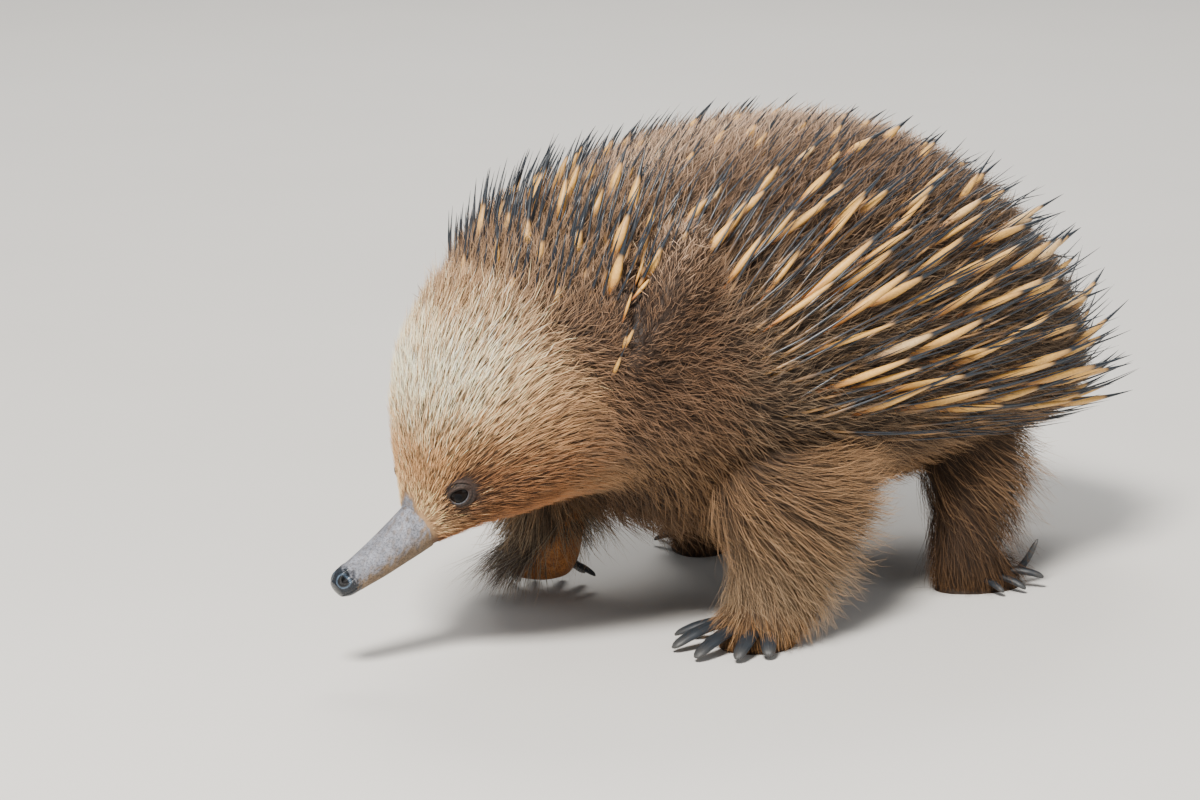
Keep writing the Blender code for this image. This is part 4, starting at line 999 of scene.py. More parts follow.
def limb_style(name, colours):
    """The style function of a limb's hair."""
    last = len(LIMBS[name]) - 1

    def style(u, v, outward, rng):
        share = u / last
        length, lean, wide = limb_coat(share)
        front = smooth(-outward[:, 0], 0.10, 0.80)
        lie = columns_of(LIMB_LIES[name], share)
        lie[:, 2] -= 0.42 * smooth(share, 0.45, 0.75) * (1 - smooth(outward[:, 0], -0.1, 0.55))
        ahead = mixed(np.array(FRONT_LIES[0]), np.array(FRONT_LIES[1]), smooth(share, 0.35, 0.80))
        ahead = ahead * np.array((1.0, -1.0 if name.endswith("left") else 1.0, 1.0))
        lie = mixed(lie, ahead, front)
        high = smooth(share, 0.28, 0.55)
        if name == "foreleg_left":
            lean = lean - 5 * smooth(outward[:, 0], 0.1, 0.7) * high
        tips = limb_paint(name, share + rng.normal(0, 0.05, u.shape), colours)
        if name == "foreleg_right":
            ruff = smooth(-outward[:, 0], 0.1, 0.7) * (1 - smooth(share, 0.40, 0.65))
            length, lean = length * (1 + 0.80 * ruff), lean + 14 * ruff
            grey = 0.55 * rng.random(u.shape) * (1 - smooth(share, 0.45, 0.70))
            tips = mixed(tips, np.array(colours.beak_top) * 0.9, grey)
        if name.startswith("hind"):
            length = length * (1 + 0.55 * (1 - smooth(share, 0.15, 0.40)))
        return {
            "length": length, "lean": lean, "wide": wide, "lie": lie, "tips": tips, "guard": 1.35,
            "base": np.full(u.shape, 0.14), "fade": 1.2, "shady": 0.34, "clump": 0.3, "contrast": 1.20,
            "spread": 0.12 + 0.05 * high, "ruffle": 9.0 - 4.5 * smooth(share, 0.05, 0.25),
            "curl": 0.04 + 0.02 * high, "sag": 0.12 * high,
        }

    return style


class Wire:
    """A number in a material, so that shader maths reads as plain sums."""

    def __init__(self, shade, socket):
        self.shade = shade
        self.socket = socket

    def _maths(self, operation, first, second):
        return self.shade.node("ShaderNodeMath", {"operation": operation}, {0: first, 1: second})

    def __add__(self, other):
        return self._maths("ADD", self, other)

    def __radd__(self, other):
        return self._maths("ADD", other, self)

    def __sub__(self, other):
        return self._maths("SUBTRACT", self, other)

    def __rsub__(self, other):
        return self._maths("SUBTRACT", other, self)

    def __mul__(self, other):
        return self._maths("MULTIPLY", self, other)

    def __rmul__(self, other):
        return self._maths("MULTIPLY", other, self)


class Shade:
    """A node material under construction."""

    def __init__(self, name, **fixed):
        self.material = bpy.data.materials.new(name)
        self.material.use_nodes = True
        self.tree = self.material.node_tree
        self.surface = self.tree.nodes["Principled BSDF"]
        for socket, value in fixed.items():
            self.surface.inputs[socket.replace("_", " ")].default_value = value

    def node(self, kind, options=None, sockets=None, output=0):
        """Adds a node, sets its options, then its sockets, and gives the wire of an output."""
        made = self.tree.nodes.new(kind)
        for option, value in (options or {}).items():
            if option == "ramp":
                self.fill_ramp(made.color_ramp, value)
            else:
                setattr(made, option, value)
        for socket, value in (sockets or {}).items():
            self.join(made.inputs[socket], value)
        return Wire(self, made.outputs[output])

    def fill_ramp(self, ramp, stops):
        while len(ramp.elements) < len(stops):
            ramp.elements.new(0.5)
        for element, (position, value) in zip(ramp.elements, stops):
            element.position = position
            element.color = (value, value, value, 1.0)

    def join(self, socket, value):
        if isinstance(value, Wire):
            self.tree.links.new(value.socket, socket)
        else:
            socket.default_value = value

    def place(self):
        return self.node("ShaderNodeTexCoord", output="Object")

    def attribute(self, name, output="Fac"):
        return self.node("ShaderNodeAttribute", {"attribute_name": name}, output=output)

    def noise(self, scale, detail=3.0, roughness=0.55, at=None):
        return self.node(
            "ShaderNodeTexNoise", None,
            {"Vector": at or self.place(), "Scale": scale, "Detail": detail, "Roughness": roughness},
        )

    def mix(self, factor, first, second, blend="MIX"):
        options = {"data_type": "RGBA", "blend_type": blend}
        return self.node("ShaderNodeMix", options, {0: factor, 6: first, 7: second}, output=2)

    def ramp(self, factor, *stops):
        """A ramp of greys through stops of a position and a value."""
        return self.node("ShaderNodeValToRGB", {"ramp": stops}, {"Fac": factor}, output="Color")

    def bump(self, height, strength, distance):
        made = self.node(
            "ShaderNodeBump", None, {"Height": height, "Strength": strength, "Distance": distance}
        )
        self.join(self.surface.inputs["Normal"], made)

    def finish(self, **varying):
        for socket, value in varying.items():
            self.join(self.surface.inputs[socket.replace("_", " ")], value)
        return self.material


def rgba(value):
    """A shader colour from a code, or from red, green and blue."""
    return tuple(linear(value) if isinstance(value, str) else value) + (1.0,)


def coat_material(name):
    """Fur: its own painted colour with fine uneven tone."""
    shade = Shade(name, Roughness=0.62, Specular_IOR_Level=0.28, Sheen_Weight=0.03, Sheen_Roughness=0.5)
    paint = shade.attribute("coat_colour", "Color")
    tone = shade.noise(420.0, 2.0)
    dark = shade.mix(0.30, paint, rgba((0.0, 0.0, 0.0)))
    return shade.finish(Base_Color=shade.mix(tone, dark, paint))


def skin_material():
    """Bare and covered skin: painted colour, pores, creases and a moist beak tip."""
    shade = Shade("echidna_skin", Specular_IOR_Level=0.4)
    paint = shade.attribute("skin_colour", "Color")
    bare, moist = shade.attribute("bare"), shade.attribute("moist")
    grain = shade.noise(900.0, 4.0, 0.6)
    speck = shade.noise(1500.0, 2.0, 0.7)
    blotch = shade.noise(170.0, 4.0, 0.65)
    spots = shade.ramp(speck, (0.40, 0.16), (0.52, 1.0))
    clouds = shade.ramp(blotch, (0.34, 0.52), (0.66, 1.12))
    base = shade.mix(bare, paint, shade.mix(0.60, paint, spots, "MULTIPLY"))
    base = shade.mix(0.8, base, clouds, "MULTIPLY")
    cell = shade.node(
        "ShaderNodeTexVoronoi", {"feature": "DISTANCE_TO_EDGE"},
        {"Vector": shade.place(), "Scale": 1100.0},
    )
    shade.bump(grain * 0.6 + cell * 1.2, 0.45, 0.0004)
    return shade.finish(Base_Color=base, Roughness=0.62 - moist * 0.42 + grain * 0.10)


def spine_material(name, colours):
    """Horn of a spine: warm root, pale base, then a dark tip with fine streaks; grey-blue ones on the tip
    are partly streaked horn, partly painted highlight.
    """
    shade = Shade(name, Specular_IOR_Level=0.45)
    along, tone = shade.attribute("along"), shade.attribute("tone")
    pale, warm, dark = (rgba(getattr(colours, key)) for key in ("spine_pale", "spine_warm", "spine_dark"))
    streak = shade.noise(900.0, 2.0)
    base = shade.mix(shade.ramp(along, (0.12, 0.0), (0.36, 1.0)), warm, pale)
    base = shade.mix(shade.ramp(tone, (0.84, 0.0), (1.0, 0.45)), base, rgba("E4D2AE"))
    base = shade.mix(shade.ramp(streak, (0.38, 0.30), (0.66, 0.0)), base, warm)
    base = shade.mix(shade.ramp(along, (0.46, 0.0), (0.60, 0.55)), base, rgba("8F6F52"))
    # Grey-blue streaks on the dark tip: partly streaked horn, partly painted highlight.
    tip = shade.mix(streak, dark, rgba("2A323B"))
    turn = shade.node(
        "ShaderNodeMapRange", {"interpolation_type": "SMOOTHSTEP"},
        {"Value": along + (tone - 0.5) * 0.06, "From Min": DARK_FROM - 0.03, "From Max": DARK_FROM + 0.045},
    )
    shade.bump(streak, 0.25, 0.0002)
    return shade.finish(Base_Color=shade.mix(turn, base, tip), Roughness=0.42 - turn * 0.10 + streak * 0.08)


def claw_material(colours):
    """Horn of a claw: dark blue-grey with streaks along it, paler towards its tip."""
    shade = Shade("claw_horn", Specular_IOR_Level=0.35)
    along, across = shade.attribute("along"), shade.attribute("round")
    at = shade.node("ShaderNodeCombineXYZ", None, {0: along * 1.5, 1: across * 9.0, 2: 0.0})
    streak = shade.noise(2.2, 4.0, 0.6, at)
    wear = shade.noise(500.0, 3.0)
    base = rgba(colours.claw)
    base = shade.mix(shade.ramp(streak, (0.45, 0.0), (0.75, 0.7)), base, rgba("3C434B"))
    base = shade.mix(shade.ramp(along, (0.75, 0.0), (1.0, 0.20)), base, rgba("77736C"))
    base = shade.mix(shade.ramp(wear, (0.55, 0.0), (0.75, 0.5)), base, rgba("3A3029"))
    shade.bump(streak + wear * 0.4, 0.35, 0.0003)
    return shade.finish(Base_Color=base, Roughness=0.34 + wear * 0.2)


def eye_material():
    """Wet eye: near-black pupil, deep brown iris and darker rim."""
    shade = Shade("eye_wet", IOR=1.33, Specular_IOR_Level=0.20)
    gaze = shade.attribute("gaze")
    fibre = shade.noise(1400.0, 4.0)
    iris = shade.mix(fibre, rgba("060404"), rgba("150E0A"))
    pupil = shade.ramp(gaze, (0.30, 0.0), (0.36, 1.0))
    rim = shade.ramp(gaze, (0.62, 0.0), (0.78, 1.0))
    base = shade.mix(pupil, rgba((0.002, 0.002, 0.003)), iris)
    base = shade.mix(rim, base, rgba((0.004, 0.003, 0.003)))
    return shade.finish(Base_Color=base, Roughness=0.03 + fibre * 0.02)


def floor_material():
    """Matt pale paper."""
    shade = Shade("studio_floor", Roughness=0.85)
    tone = shade.noise(6.0, 2.0)
    return shade.finish(Base_Color=shade.mix(tone, rgba((0.62, 0.61, 0.59)), rgba((0.66, 0.65, 0.63))))


def ring_faces(rows, count, closed):
    """Triangles between neighbouring rings of places, back to the first ring where closed."""
    i = np.arange(count)
    j = (i + 1) % count
    faces = []
    for k in range(rows if closed else rows - 1):
        low, high = k * count, ((k + 1) % rows) * count
        faces.append(np.stack((low + i, low + j, high + j), -1))
        faces.append(np.stack((low + i, high + j, high + i), -1))
    return faces


def faced_out(places, faces):
    """The faces of a closed mesh, turned to point outwards."""
    faces = np.concatenate(faces)
    corners = places[faces]
    volume = np.sum(corners[:, 0] * np.cross(corners[:, 1], corners[:, 2]))
    return faces if volume > 0 else faces[:, ::-1]


def loft(rings, start_pole, end_pole):
    """Closed mesh through rings of places, ended by a fan to each pole."""
    rings = np.asarray(rings, float)
    rows, count = rings.shape[:2]
    places = np.concatenate([rings.reshape(-1, 3), [start_pole], [end_pole]])
    faces = ring_faces(rows, count, False)
    i = np.arange(count)
    j = (i + 1) % count
    first, last = rows * count, rows * count + 1
    faces.append(np.stack((j, i, np.full(count, first)), -1))
    faces.append(np.stack((first - count + i, first - count + j, np.full(count, last)), -1))
    return places, faced_out(places, faces)


def eye_place(side):
    """Centre of an eye, the direction that it looks, and the directions along and across it."""
    angle = math.radians(EYE_ANGLE if side < 0 else 180 - EYE_ANGLE)
    t, v = np.array([EYE_STATION]), np.array([angle])
    outward = LOFT.normal(t, v, 0.02)[0]
    along = LOFT.slopes(t, v)[0][0]
    along = unit(along - outward * np.dot(along, outward))
    upward = np.cross(along, outward) * side * -1
    upward = upward if upward[2] > 0 else -upward
    return LOFT.place(t, v)[0] - outward * EYE_SINK, outward, along, upward


def lid_ring(side, around=96):
    """Folded lids round one eye, as a closed ring that rides on the ball and sinks in the face.

    Gives places, faces and, for each place, its moisture, which also sets a painted wet highlight, the
    height of its folds and creases, which sets painted shade and light on them, and its share of fur.
    """
    centre, outward, along, upward = eye_place(side)
    tilt = math.radians(EYE_TILT)
    angle = np.arange(around) / around * 2 * math.pi
    ease = np.sin(angle)
    opening = np.stack((np.cos(angle) * EYE_OPEN[0], np.sin(angle) * EYE_OPEN[1]), -1)
    opening[:, 1] *= np.where(ease > 0, 0.92, 1.0)
    spoke = unit(opening)
    shares = {"upper": np.clip(ease, 0, 1), "lower": np.clip(-ease, 0, 1)}
    radius = np.linalg.norm(opening, axis=-1)
    ball = np.sqrt(np.maximum(EYE_RADIUS**2 - radius**2, 1e-9)) - EYE_SINK
    base = centre + outward * EYE_SINK
    rings, kinds = [], []
    for rho, kind, rise in LID_RINGS:
        rho = rho * LID_SCALE if rho > 0.0004 else rho
        flat = spoke * (radius + rho)[:, None]
        turned_x = flat[:, 0] * math.cos(tilt) - flat[:, 1] * math.sin(tilt)
        turned_y = flat[:, 0] * math.sin(tilt) + flat[:, 1] * math.cos(tilt)
        bend = -(turned_x**2 / 0.045 + turned_y**2 / 0.055)
        height, relief_shade = rise + bend, np.zeros(around)
        if kind == "under":
            height = ball - 0.0016
        elif kind == "ball":
            height = np.sqrt(np.maximum((EYE_RADIUS + rise) ** 2 - (radius + rho) ** 2, 1e-9)) - EYE_SINK
        elif kind == "skin":
            bulge = (ball + 0.00060) * np.exp(-((rho / 0.0024) ** 2))
            fold = sum(
                tall * shares[lid] * np.exp(-(((rho - at) / breadth) ** 2))
                for lid, tall, at, breadth in LID_FOLDS
            )
            crease = 0.00012 * np.sin(rho * 7200 + 1.3 * np.sin(angle * 3)) * smooth(rho, 0.0006, 0.0015)
            crease = crease + 0.00008 * np.sin(angle * 23 + rho * 2500)
            height = bulge + fold + crease * (1 - smooth(rho, 0.0045, 0.0063)) + bend
            height = height - 0.0006 * smooth(rho, 0.0024, 0.0045)
            relief_shade = fold + crease * 3
        rings.append(
            base + along * turned_x[:, None] + upward * turned_y[:, None]
            + outward * np.asarray(height)[:, None]
        )
        kinds.append(np.stack((
            np.clip(1 - abs(rho - 0.0001) / 0.0003, 0, 1) * (0.02 + 0.34 * shares["lower"]),
            np.clip(0.45 + relief_shade / 0.0012, 0, 1),
            np.clip(smooth(np.array(rho), 0.0018, 0.0040) + 0.55 * np.abs(np.cos(angle)) ** 5, 0, 1),
        ), -1))
    places = np.concatenate(rings)
    faces = faced_out(places, ring_faces(len(rings), around, True))
    return places, faces, np.concatenate(kinds)


def body_shell(columns=120):
    """Places, faces and coordinates of the skin from the beak's tip to the rump."""
    v = np.arange(columns) / columns * 2 * math.pi
    stations = np.concatenate([
        np.linspace(-1 - BEAK_CAP_SPAN * 0.94, -1, 7)[:-1],
        np.linspace(-1, 0, 90)[:-1],
        np.linspace(0, 4.45, 74)[:-1],
        np.linspace(4.45, 6.7, 70)[:-1],
        np.linspace(6.7, BODY_END, 58),
    ])
    grid_t, grid_v = np.meshgrid(stations, v, indexing="ij")
    rings = SKIN.place(grid_t, grid_v)
    nose = rings[0].mean(axis=0) + direction(BEAK_PITCH, BEAK_TURN) * 0.00002
    rump = rings[-1].mean(axis=0) + np.array((0.003, 0, 0))
    places, faces = loft(rings, nose, rump)
    coordinates = np.stack((grid_t, grid_v), -1).reshape(-1, 2)
    coordinates = np.concatenate([coordinates, [(-1.15, 0)], [(BODY_END, 0)]])
    return places, faces, coordinates


def limb_shell(name, columns=48, rings=56):
    """Places and faces of a limb's skin, then the row and the angle of each place but its poles."""
    rows = LIMBS[name]
    u = np.linspace(0, len(rows) - 1, rings)
    v = np.arange(columns) / columns * 2 * math.pi
    grid_u, grid_v = np.meshgrid(u, v, indexing="ij")
    found = LIMB_SKINS[name].place(grid_u, grid_v)
    shell = loft(found, found[0].mean(axis=0), found[-1].mean(axis=0))
    return shell + (grid_u.ravel(), grid_v.ravel())


def evaluated(obj):
    """A plain mesh of an object as its modifiers leave it."""
    bpy.context.view_layer.update()
    graph = bpy.context.evaluated_depsgraph_get()
    return bpy.data.meshes.new_from_object(obj.evaluated_get(graph))


def joined(meshes):
    """One closed skin from several closed meshes."""
    scene = bpy.context.scene
    objects = [bpy.data.objects.new(mesh.name, mesh) for mesh in meshes]
    scene.collection.objects.link(objects[0])
    group = bpy.data.collections.new("flesh")
    scene.collection.children.link(group)
    for obj in objects[1:]:
        group.objects.link(obj)
    modifier = objects[0].modifiers.new("join", "BOOLEAN")
    modifier.operation = "UNION"
    modifier.operand_type = "COLLECTION"
    modifier.collection = group
    modifier.solver = "MANIFOLD"
    made = evaluated(objects[0])
    for mesh in meshes:
        bpy.data.meshes.remove(mesh)
    bpy.data.collections.remove(group)
    return made


def skin_paint(t, v, colours):
    """Colour, bareness and moisture of the body's skin."""
    names = ("beak_top", "beak_under", "beak_tip", "lid", "under", "eye_patch")
    paint = {name: np.array(getattr(colours, name)) for name in names}
    along = -t * BEAK_LENGTH
    degrees = height_angle(v)
    ragged = 0.0016 * wool(along * 500, v, 5)
    top = smooth(degrees + 12 * wool(along * 300, v, 8), -28, 22)
    beak = mixed(np.broadcast_to(paint["beak_under"], t.shape + (3,)), paint["beak_top"], top)
    beak = beak * (1 - 0.35 * smooth(-degrees, 35, 75))[..., None]
    stain = smooth(wool(along * 260, v, 21), 0.05, 0.75) * (0.35 + 0.65 * smooth(-along, -0.020, -0.002))
    beak = mixed(beak, paint["beak_under"] * 0.8, 0.55 * stain)
    beak = beak * (0.86 + 0.14 * smooth(wool(along * 700, v * 2, 22), -0.4, 0.4))[..., None]
    tip = smooth(along + ragged, 0.0275, 0.0312)
    beak = mixed(beak, paint["beak_tip"], tip)
    reach = nostril_reach(along, v)
    front = along > 0.02
    # A pale blue-grey ring round each nostril: partly its rim's own colour, partly a painted wet highlight.
    rim = np.exp(-(((reach - 1.42) / 0.16) ** 2)) * front
    beak = mixed(beak, np.array(linear("70869E")), 0.6 * rim)
    # Painted shade: the nostril's opening painted near black.
    shaded_hole = (1 - smooth(reach, 1.00, 1.20)) * front
    beak = mixed(beak, np.array((0.004, 0.004, 0.005)), shaded_hole)
    bare = bare_share(t, v)
    body = smooth(t, 3.8, 5.2)
    fur = body_paint(t, v, colours)
    # Skin under the coat painted as dark fur: painted shade in the gaps between tufts.
    covered = mixed(fur * 0.34, fur * 0.14 + paint["under"] * 0.5, body)
    patch = mixed(paint["eye_patch"] * 0.8, paint["lid"], 1 - smooth(eye_distance(t, v), 0.0055, 0.0085))
    face = mixed(covered, patch, 1 - smooth(eye_distance(t, v), 0.0075, 0.0105))
    skin = mixed(beak, face, 1 - beak_share(t + 0.05 * wool(t * 9, v * 2, 4), v))
    return skin, bare * (t < 3), tip * (1 - shaded_hole)


def body_skin(colours):
    """Mesh, places, colours, bareness and moisture of the skin of the body and the beak."""
    places, faces, coordinates = body_shell()
    looks = skin_paint(coordinates[:, 0], coordinates[:, 1], colours)
    return (mesh_of("echidna_skin", places, faces), places) + looks


def limb_skin(name, colours):
    """The same for a limb."""
    places, faces, u, v = limb_shell(name)
    last = len(LIMBS[name]) - 1
    share = np.concatenate([u, [0, last]]) / last
    lifted = name == "foreleg_right"
    sole = 1 - smooth(share, 0.002, 0.012)
    if lifted:
        sole = palm_share(share * last, np.concatenate([v, [0, 0]]))
    # Skin under the hair painted dark: painted shade between the tufts.
    paint = limb_paint(name, share, colours) * 0.36 + np.array(colours.under) * 0.3
    # Painted shade: darker at the sole and where the top of the leg meets the body.
    paint = paint * (0.45 + 0.55 * smooth(share, 0.0, 0.10) - 0.50 * smooth(share, 0.60, 0.80))[..., None]
    # Soles of the standing feet painted dark as painted shade on the floor; the lifted palm keeps its own
    # colour.
    paint = mixed(paint, np.array(colours.palm) * (1.0 if lifted else 0.22), sole)
    return mesh_of(name, places, faces), places, paint, sole, sole * 0.1


def tail_skin(colours):
    """The same for the tail."""
    u, v = np.meshgrid(np.linspace(0, 1, 14), np.arange(32) / 32 * 2 * math.pi, indexing="ij")
    rings = TAIL.place(u, v)
    places, faces = loft(rings, rings[0].mean(axis=0), rings[-1].mean(axis=0))
    # The tail's skin painted in the dark root colour: painted shade under its hair.
    paint = np.broadcast_to(np.array(colours.under) * 0.6, places.shape)
    nothing = np.zeros(len(places))
    return mesh_of("tail", places, faces), places, paint, nothing, nothing


def lid_skin(word, side, colours):
    """The same for the lids of one eye."""
    places, faces, looks = lid_ring(side)
    wet_sheen, relief_shade, furred = looks.T
    # Painted shade in the creases of the lids and painted light on their folds, after the height of the
    # folds.
    paint = mixed(np.array(colours.lid) * 0.15, np.array(colours.lid) * 1.35, relief_shade**1.4)
    paint = mixed(paint, np.array(colours.eye_patch) * 0.7, furred)
    # Painted highlight: the wet rims of the lids, most of all the lower one, painted pale blue-white as a
    # reflection.
    paint = mixed(paint, np.array(linear("A8B2C0")), wet_sheen * 0.85)
    return mesh_of(f"lids_{word}", places, faces), places, paint, np.ones(len(places)), wet_sheen


def make_skin():
    """One skin, with the looks of each place taken from the nearest place of its parts."""
    colours = settings()[2]
    parts = [body_skin(colours)] + [limb_skin(name, colours) for name in LIMBS] + [tail_skin(colours)]
    parts += [lid_skin(word, side, colours) for word, side in SIDES]
    skin = joined([part[0] for part in parts])
    skin.name = "echidna_skin"
    places, paint, bare, moist = (
        np.concatenate([np.asarray(part[k], float) for part in parts]) for k in range(1, 5)
    )
    tree = KDTree(len(places))
    for k, place in enumerate(places + SHIFT):
        tree.insert(place, k)
    tree.balance()
    nearest = np.array([tree.find(vertex.co)[1] for vertex in skin.vertices])
    give_paint(skin, "skin_colour", paint[nearest])
    give_number(skin, "bare", bare[nearest])
    give_number(skin, "moist", moist[nearest])
    skin.shade_smooth()
    flesh = ["head", "beak", "neck", "torso", "tail", "ear_left", "ear_right"]
    flesh += list(LIMBS) + ["forefoot_left", "forefoot_right", "hindfoot_left", "hindfoot_right"]
    return add_piece(skin, "beak_skin", skin_material(), *flesh)


def make_eye(word, side, material, around=64, bands=40):
    centre, outward, along, upward = eye_place(side)
    theta = np.linspace(0.02, math.pi - 0.02, bands)
    phi = np.arange(around) / around * 2 * math.pi
    grid_t, grid_p = np.meshgrid(theta, phi, indexing="ij")
    radius = EYE_RADIUS * (1 + 0.035 * np.exp(-((grid_t / 0.55) ** 2)))
    flat = np.sin(grid_t) * radius
    rings = (
        centre
        + outward * (np.cos(grid_t) * radius)[..., None]
        + along * (flat * np.cos(grid_p))[..., None]
        + upward * (flat * np.sin(grid_p))[..., None]
    )
    front = centre + outward * EYE_RADIUS * 1.035
    places, faces = loft(rings, front, centre - outward * EYE_RADIUS)
    mesh = mesh_of(f"eyeball_{word}", places, faces)
    gaze = np.concatenate([grid_t.ravel(), [0.0], [math.pi]])
    give_number(mesh, "gaze", gaze)
    add_piece(mesh, "eye", material, f"eye_{word}")


def claw_shell(name, rings=22, sides=18):
    """One claw: rounded above, hollow below, with a blunt worn tip."""
    start, tip, wide, thick, rise = CLAWS[name]
    start, tip = np.array(start), np.array(tip)
    middle = (start + tip) / 2 + np.array((0, 0, 2 * rise))
    s = np.linspace(0, 0.985, rings)
    share = np.interp(s, (0, 0.30, 0.66, 0.88, 0.96, 0.985), (0.85, 1.0, 0.98, 0.78, 0.55, 0.32))
    centre = (
        start * (1 - s[:, None]) ** 2 + middle * (2 * s * (1 - s))[:, None] + tip * (s[:, None] ** 2)
    )
    forward = unit((middle - start) * (1 - s[:, None]) + (tip - middle) * s[:, None])
    across = unit(np.cross(UP, forward))
    upward = np.cross(forward, across)
    angle = np.arange(sides) / sides * 2 * math.pi
    high = np.sin(angle)
    lift = np.where(high > 0, high, high * 0.70 + 0.22 * np.exp(-((np.cos(angle) / 0.45) ** 2)))
    rings_at = (
        centre[:, None]
        + across[:, None] * (np.cos(angle) * (wide / 2))[None, :, None] * share[:, None, None]
        + upward[:, None] * (lift * (thick / 2))[None, :, None] * share[:, None, None]
    )
    places, faces = loft(rings_at, start, tip)
    along = np.concatenate([np.repeat(s, sides), [0.0], [1.0]])
    round_it = np.concatenate([np.tile(np.cos(angle), rings), [0.0], [0.0]])
    places[:, 2] = np.maximum(places[:, 2], 0.00005)
    return places, faces, along, round_it


def make_claws():
    material = claw_material(settings()[2])
    for limb in ("fore", "hind"):
        for word, _ in SIDES:
            names = [f"claw_{limb}_{word}_{k}" for k in range(1, 6)]
            found, base = [[], [], [], []], 0
            for name in names:
                places, faces, along, round_it = claw_shell(name)
                for store, part in zip(found, (places, faces + base, along, round_it)):
                    store.append(part)
                base += len(places)
            mesh = mesh_of(f"claws_{limb}_{word}", np.concatenate(found[0]), np.concatenate(found[1]))
            give_number(mesh, "along", np.concatenate(found[2]))
            give_number(mesh, "round", np.concatenate(found[3]))
            add_piece(mesh, "claw_horn", material, *names)


def spine_uv(t, v):
    """Places of the spines of the body on their map."""
    return outline_uv(t, v % (2 * math.pi), SPINE_WINDOW)


def spaced(t, v, spacing, near=None):
    """Keeps the places that are a spacing apart, and half of it from others."""
    place = LOFT.place(t, v)
    kept = []
    cloud = np.empty((0, 3))
    for k, point in enumerate(place):
        if len(cloud) and np.min(np.sum((cloud - point) ** 2, axis=1)) < spacing[k] ** 2:
            continue
        if near is not None and np.min(np.sum((near - point) ** 2, axis=1)) < (spacing[k] * 0.45) ** 2:
            continue
        kept.append(k)
        cloud = np.vstack([cloud, point])
    return np.array(kept, int), cloud


def body_spines(kind, spacing, tries, girth, rng, near=None):
    """Roots, tips, radii and the start of the dark tip of spines over the neck and the torso."""
    t = rng.uniform(4.82, 12.95, tries)
    thin = kind == "thin"
    low = column_of(SPINE_ROWS, t, 1) - (10 * smooth(t, 6.4, 7.2) if thin else 0)
    low = np.radians(low)
    v = rng.uniform(low, math.pi - low)
    degrees = height_angle(v)
    if thin:
        chance = np.ones(tries)
        gaps = np.interp(degrees, (-40, 10, 60, 90), (1.06, 1.0, 1.02, 1.08)) * np.interp(t, *THIN_GAPS)
    else:
        first = np.interp(t, *THICK_LIMITS)
        chance = 1 - 0.96 * smooth(degrees, first, first + 22)
        gaps = np.interp(t, *THICK_GAPS)
    held = rng.random(tries) < chance
    t, v, gaps, degrees = t[held], v[held], gaps[held], degrees[held]
    kept, cloud = spaced(t, v, spacing * gaps, near)
    t, v, degrees = t[kept], v[kept], degrees[kept]
    count = len(t)
    length, lean, radius, flow, _ = spine_lie(t, v)
    flow = flow + rng.normal(0, 1, (count, 3)) * np.array((0.0, 0.10, 0.10))
    if thin:
        radius = np.interp(t, *THIN_RADII)
    outward = LOFT.normal(t, v, 0.02)
    along = laid(flow, outward)
    side = smooth(-degrees, -62, -30) * smooth(t, 6.0, 7.2)
    stretch = 1 + (0.95 - 0.30 * smooth(t, 8.0, 10.5)) * side
    reach = length * stretch * rng.uniform(0.80, 1.18, count)
    lean = np.degrees(np.arcsin(np.sin(np.radians(lean)) / stretch ** 0.9)) + rng.normal(0, 2.5, count)
    surface = LOFT.place(t, v)
    tip = surface + leaning(along, outward, lean, reach)
    depth = np.minimum(body_depth(t, v), 0.0070)
    root = surface - outward * depth[:, None] - along * (1.2 * depth)[:, None]
    tip = held_in(root, tip)
    size = np.linalg.norm(tip - root, axis=-1)
    dark = np.interp(size, (0.015, 0.030, 0.070), (0.0085, 0.0130, 0.0220)) * rng.uniform(0.8, 1.3, count)
    dark = dark * (1.6 if thin else 1 + 0.30 * smooth(-t, -6.3, -5.3))
    dark = np.maximum(dark, size * 0.45 * smooth(degrees, 45, 70) * smooth(t, 6.2, 7.5))
    return {
        "root": root, "tip": tip, "outward": outward,
        "girth": radius * girth * rng.uniform(0.80 if thin else 0.56, 1.06, count),
        "start": np.clip(1 - dark / size, 0.15, 0.72), "cloud": cloud,
        "uv": spine_uv(t, v),
    }


def held_in(root, tip):
    """Tips brought back along their spines to stay inside the box of the solids."""
    low, high = np.array(CAD_BOX[0]) - SHIFT + BOX_GAP, np.array(CAD_BOX[1]) - SHIFT - BOX_GAP
    chord = tip - root
    with np.errstate(divide="ignore", invalid="ignore"):
        room = np.where(chord > 0, (high - root) / chord, (low - root) / chord)
    return root + chord * np.clip(np.nanmin(np.where(chord == 0, 9, room), axis=1), 0.3, 1)[:, None]


def ear_spines(rng, count=6):
    """A few slender spines in front of the furrow of each ear."""
    groups = []
    for side in (0, 1):
        along = np.linspace(0.16, 1.02, count) + rng.normal(0, 0.05, count)
        t = EAR_TOP[0] + (EAR_BOTTOM[0] - EAR_TOP[0]) * along + rng.uniform(-0.14, 0.12, count)
        degrees = EAR_TOP[1] + (EAR_BOTTOM[1] - EAR_TOP[1]) * along
        v = np.radians(degrees if side == 0 else 180 - degrees)
        root, outward = SKIN.place(t, v), SKIN.normal(t, v, 0.12)
        flow = np.array((0.50, 0.0, 0.75)) + rng.normal(0, 0.16, (count, 3))
        lean, size = rng.uniform(24, 36, count), rng.uniform(0.013, 0.024, count)
        tip = root + leaning(laid(flow, outward), outward, lean, size)
        groups.append({
            "root": root, "tip": tip, "outward": outward, "girth": rng.uniform(0.0006, 0.0009, count),
            "start": rng.uniform(0.55, 0.72, count),
            "uv": spine_uv(t, v),
        })
    return groups


